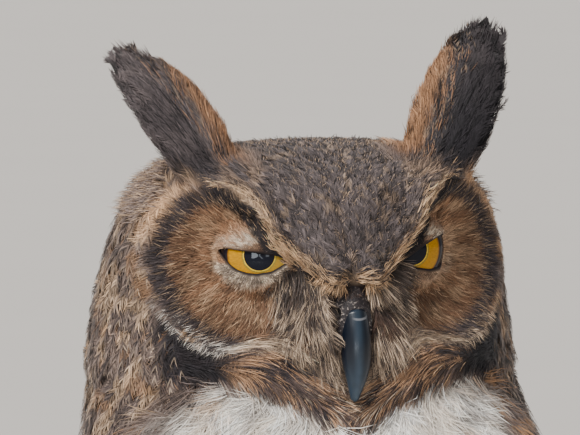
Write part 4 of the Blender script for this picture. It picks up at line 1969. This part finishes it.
class OWL_OT_bill(bpy.types.Operator):
    """Makes the hooked bill, the bare cere with its nostrils, and the claws"""

    bl_idname = "owl.bill"
    bl_label = "Bill and claws"

    def execute(self, context):
        settings = context.scene.owl_horn
        horn = horn_material(tuple(settings.bill))

        def upper_form(turn):
            rise = np.cos(turn)
            return np.sin(turn) * (1 - 0.20 * np.clip(rise, 0, 1) ** 2), np.sign(rise) * np.abs(rise) ** 0.9

        rings, centre, tip, places, turn = bill_rings(BILL_SECTIONS, 64, 40, upper_form)
        cut = int(np.searchsorted(places, 0.40))
        slim = rings.copy()
        slim[..., 0] *= (1 - 0.15 * smooth(0.70, 0.44, places))[:, None]
        ring_mesh("bill_horn", slim[cut:], horn, places[cut:], turn, "horn", "bill_upper", tip)
        under, _, end, stations, round_ = bill_rings(LOWER_BILL, 24, 28, lambda turn: (np.sin(turn), np.cos(turn)))
        ring_mesh("bill_under", under, horn, stations, round_, "horn", "bill_lower", end)

        # the cere wraps the root of the bill and ends in a soft lip over the horn
        top = int(np.searchsorted(places, 0.60))
        skin, middle, along = rings[:top], centre[:top][:, None], places[:top, None, None]
        share = np.clip(along / 0.43, 0, 1)
        lip = 0.405 + 0.15 * (1 - np.clip(-np.cos(turn), 0, 1))[None, :, None]
        swell = 1.0 + 0.085 * np.sin(np.pi * np.clip(share * 0.9 + 0.1, 0, 1)) - 0.02 * smooth(0.9, 1.0, share)
        swell = swell + 0.03 * smooth(0.40, 0.46, along) - 0.16 * smooth(lip - 0.012, lip + 0.018, along)
        skin = middle + (skin - middle) * swell
        for side in (1, -1):
            nostril = np.array((side * 0.00625, -0.0489, EYE_LEVEL - 0.0182))
            away = np.linalg.norm((skin - nostril) / (0.0030, 0.0021, 0.0017), axis=-1, keepdims=True)
            skin = skin + unit(middle - skin) * (0.0024 * bell(away) - 0.0006 * np.exp(-((away - 1.5) ** 2) * 5))
        ring_mesh("cere_skin", skin, cere_material(tuple(settings.cere)), places[:top], turn, "cere", "cere")
        for name, side in SIDES.items():
            for toe, angle, reach in TOES:
                self.claw(horn, name, side, toe, math.radians(angle), reach)
        return {"FINISHED"}

    def claw(self, horn, name, side, toe, angle, reach):
        turn = np.linspace(0, 2 * math.pi, 16, endpoint=False)[:, None]
        places = np.linspace(0, 3, 22)
        row = eased(sampled(places, range(4), CLAW_SECTIONS), 3)
        upwards, way = np.array((0, 0, 1.0)), np.array((side * math.sin(angle), -math.cos(angle), 0.0))
        root = np.array((side * LEG_OUT, -0.001, 0.0)) + way * (reach + CLAW_ROOT)
        centre = root + way * row[:, :1] + upwards * row[:, 1:2]
        across = np.cross(way, upwards)
        upright = unit(np.cross(across, unit(np.gradient(centre, axis=0))))
        ring = np.sin(turn) * across * 0.88 + np.cos(turn) * upright[:, None]
        ring = centre[:, None] + ring * row[:, 2][:, None, None]
        piece, node = f"talon_{name}_{toe}", f"claw_{name}_{toe}"
        ring_mesh(piece, ring, horn, places / 3, turn[:, 0], "horn", node, on_head=False)


# ---- the add-on ----
SETTINGS = {"owl_stage": OwlStage, "owl_plumage": OwlPlumage, "owl_eyes": OwlEyes, "owl_horn": OwlHorn}
STEPS = [
    OWL_OT_stage, OWL_OT_skin, OWL_OT_eyes, OWL_OT_bill, OWL_OT_face, OWL_OT_crown, OWL_OT_bristles,
    OWL_OT_tufts, OWL_OT_neck, OWL_OT_body, OWL_OT_wings,
]


class OWL_PT_sidebar(bpy.types.Panel):
    bl_idname = "OWL_PT_sidebar"
    bl_label = "Great Horned Owl"
    bl_space_type = "VIEW_3D"
    bl_region_type = "UI"
    bl_category = "Owl"

    def draw(self, context):
        for step in STEPS:
            self.layout.operator(step.bl_idname)
        for name, kind in SETTINGS.items():
            column = self.layout.column()
            for key in kind.__annotations__:
                column.prop(getattr(context.scene, name), key)


def register():
    for kind in (*SETTINGS.values(), *STEPS, OWL_PT_sidebar):
        bpy.utils.register_class(kind)
    for name, kind in SETTINGS.items():
        setattr(bpy.types.Scene, name, bpy.props.PointerProperty(type=kind))


def unregister():
    for name in SETTINGS:
        delattr(bpy.types.Scene, name)
    for kind in reversed((*SETTINGS.values(), *STEPS, OWL_PT_sidebar)):
        bpy.utils.unregister_class(kind)


def main():
    register()
    shared_groups()
    for step in STEPS:
        group, name = step.bl_idname.split(".")
        getattr(getattr(bpy.ops, group), name)()


if __name__ == "__main__":
    main()
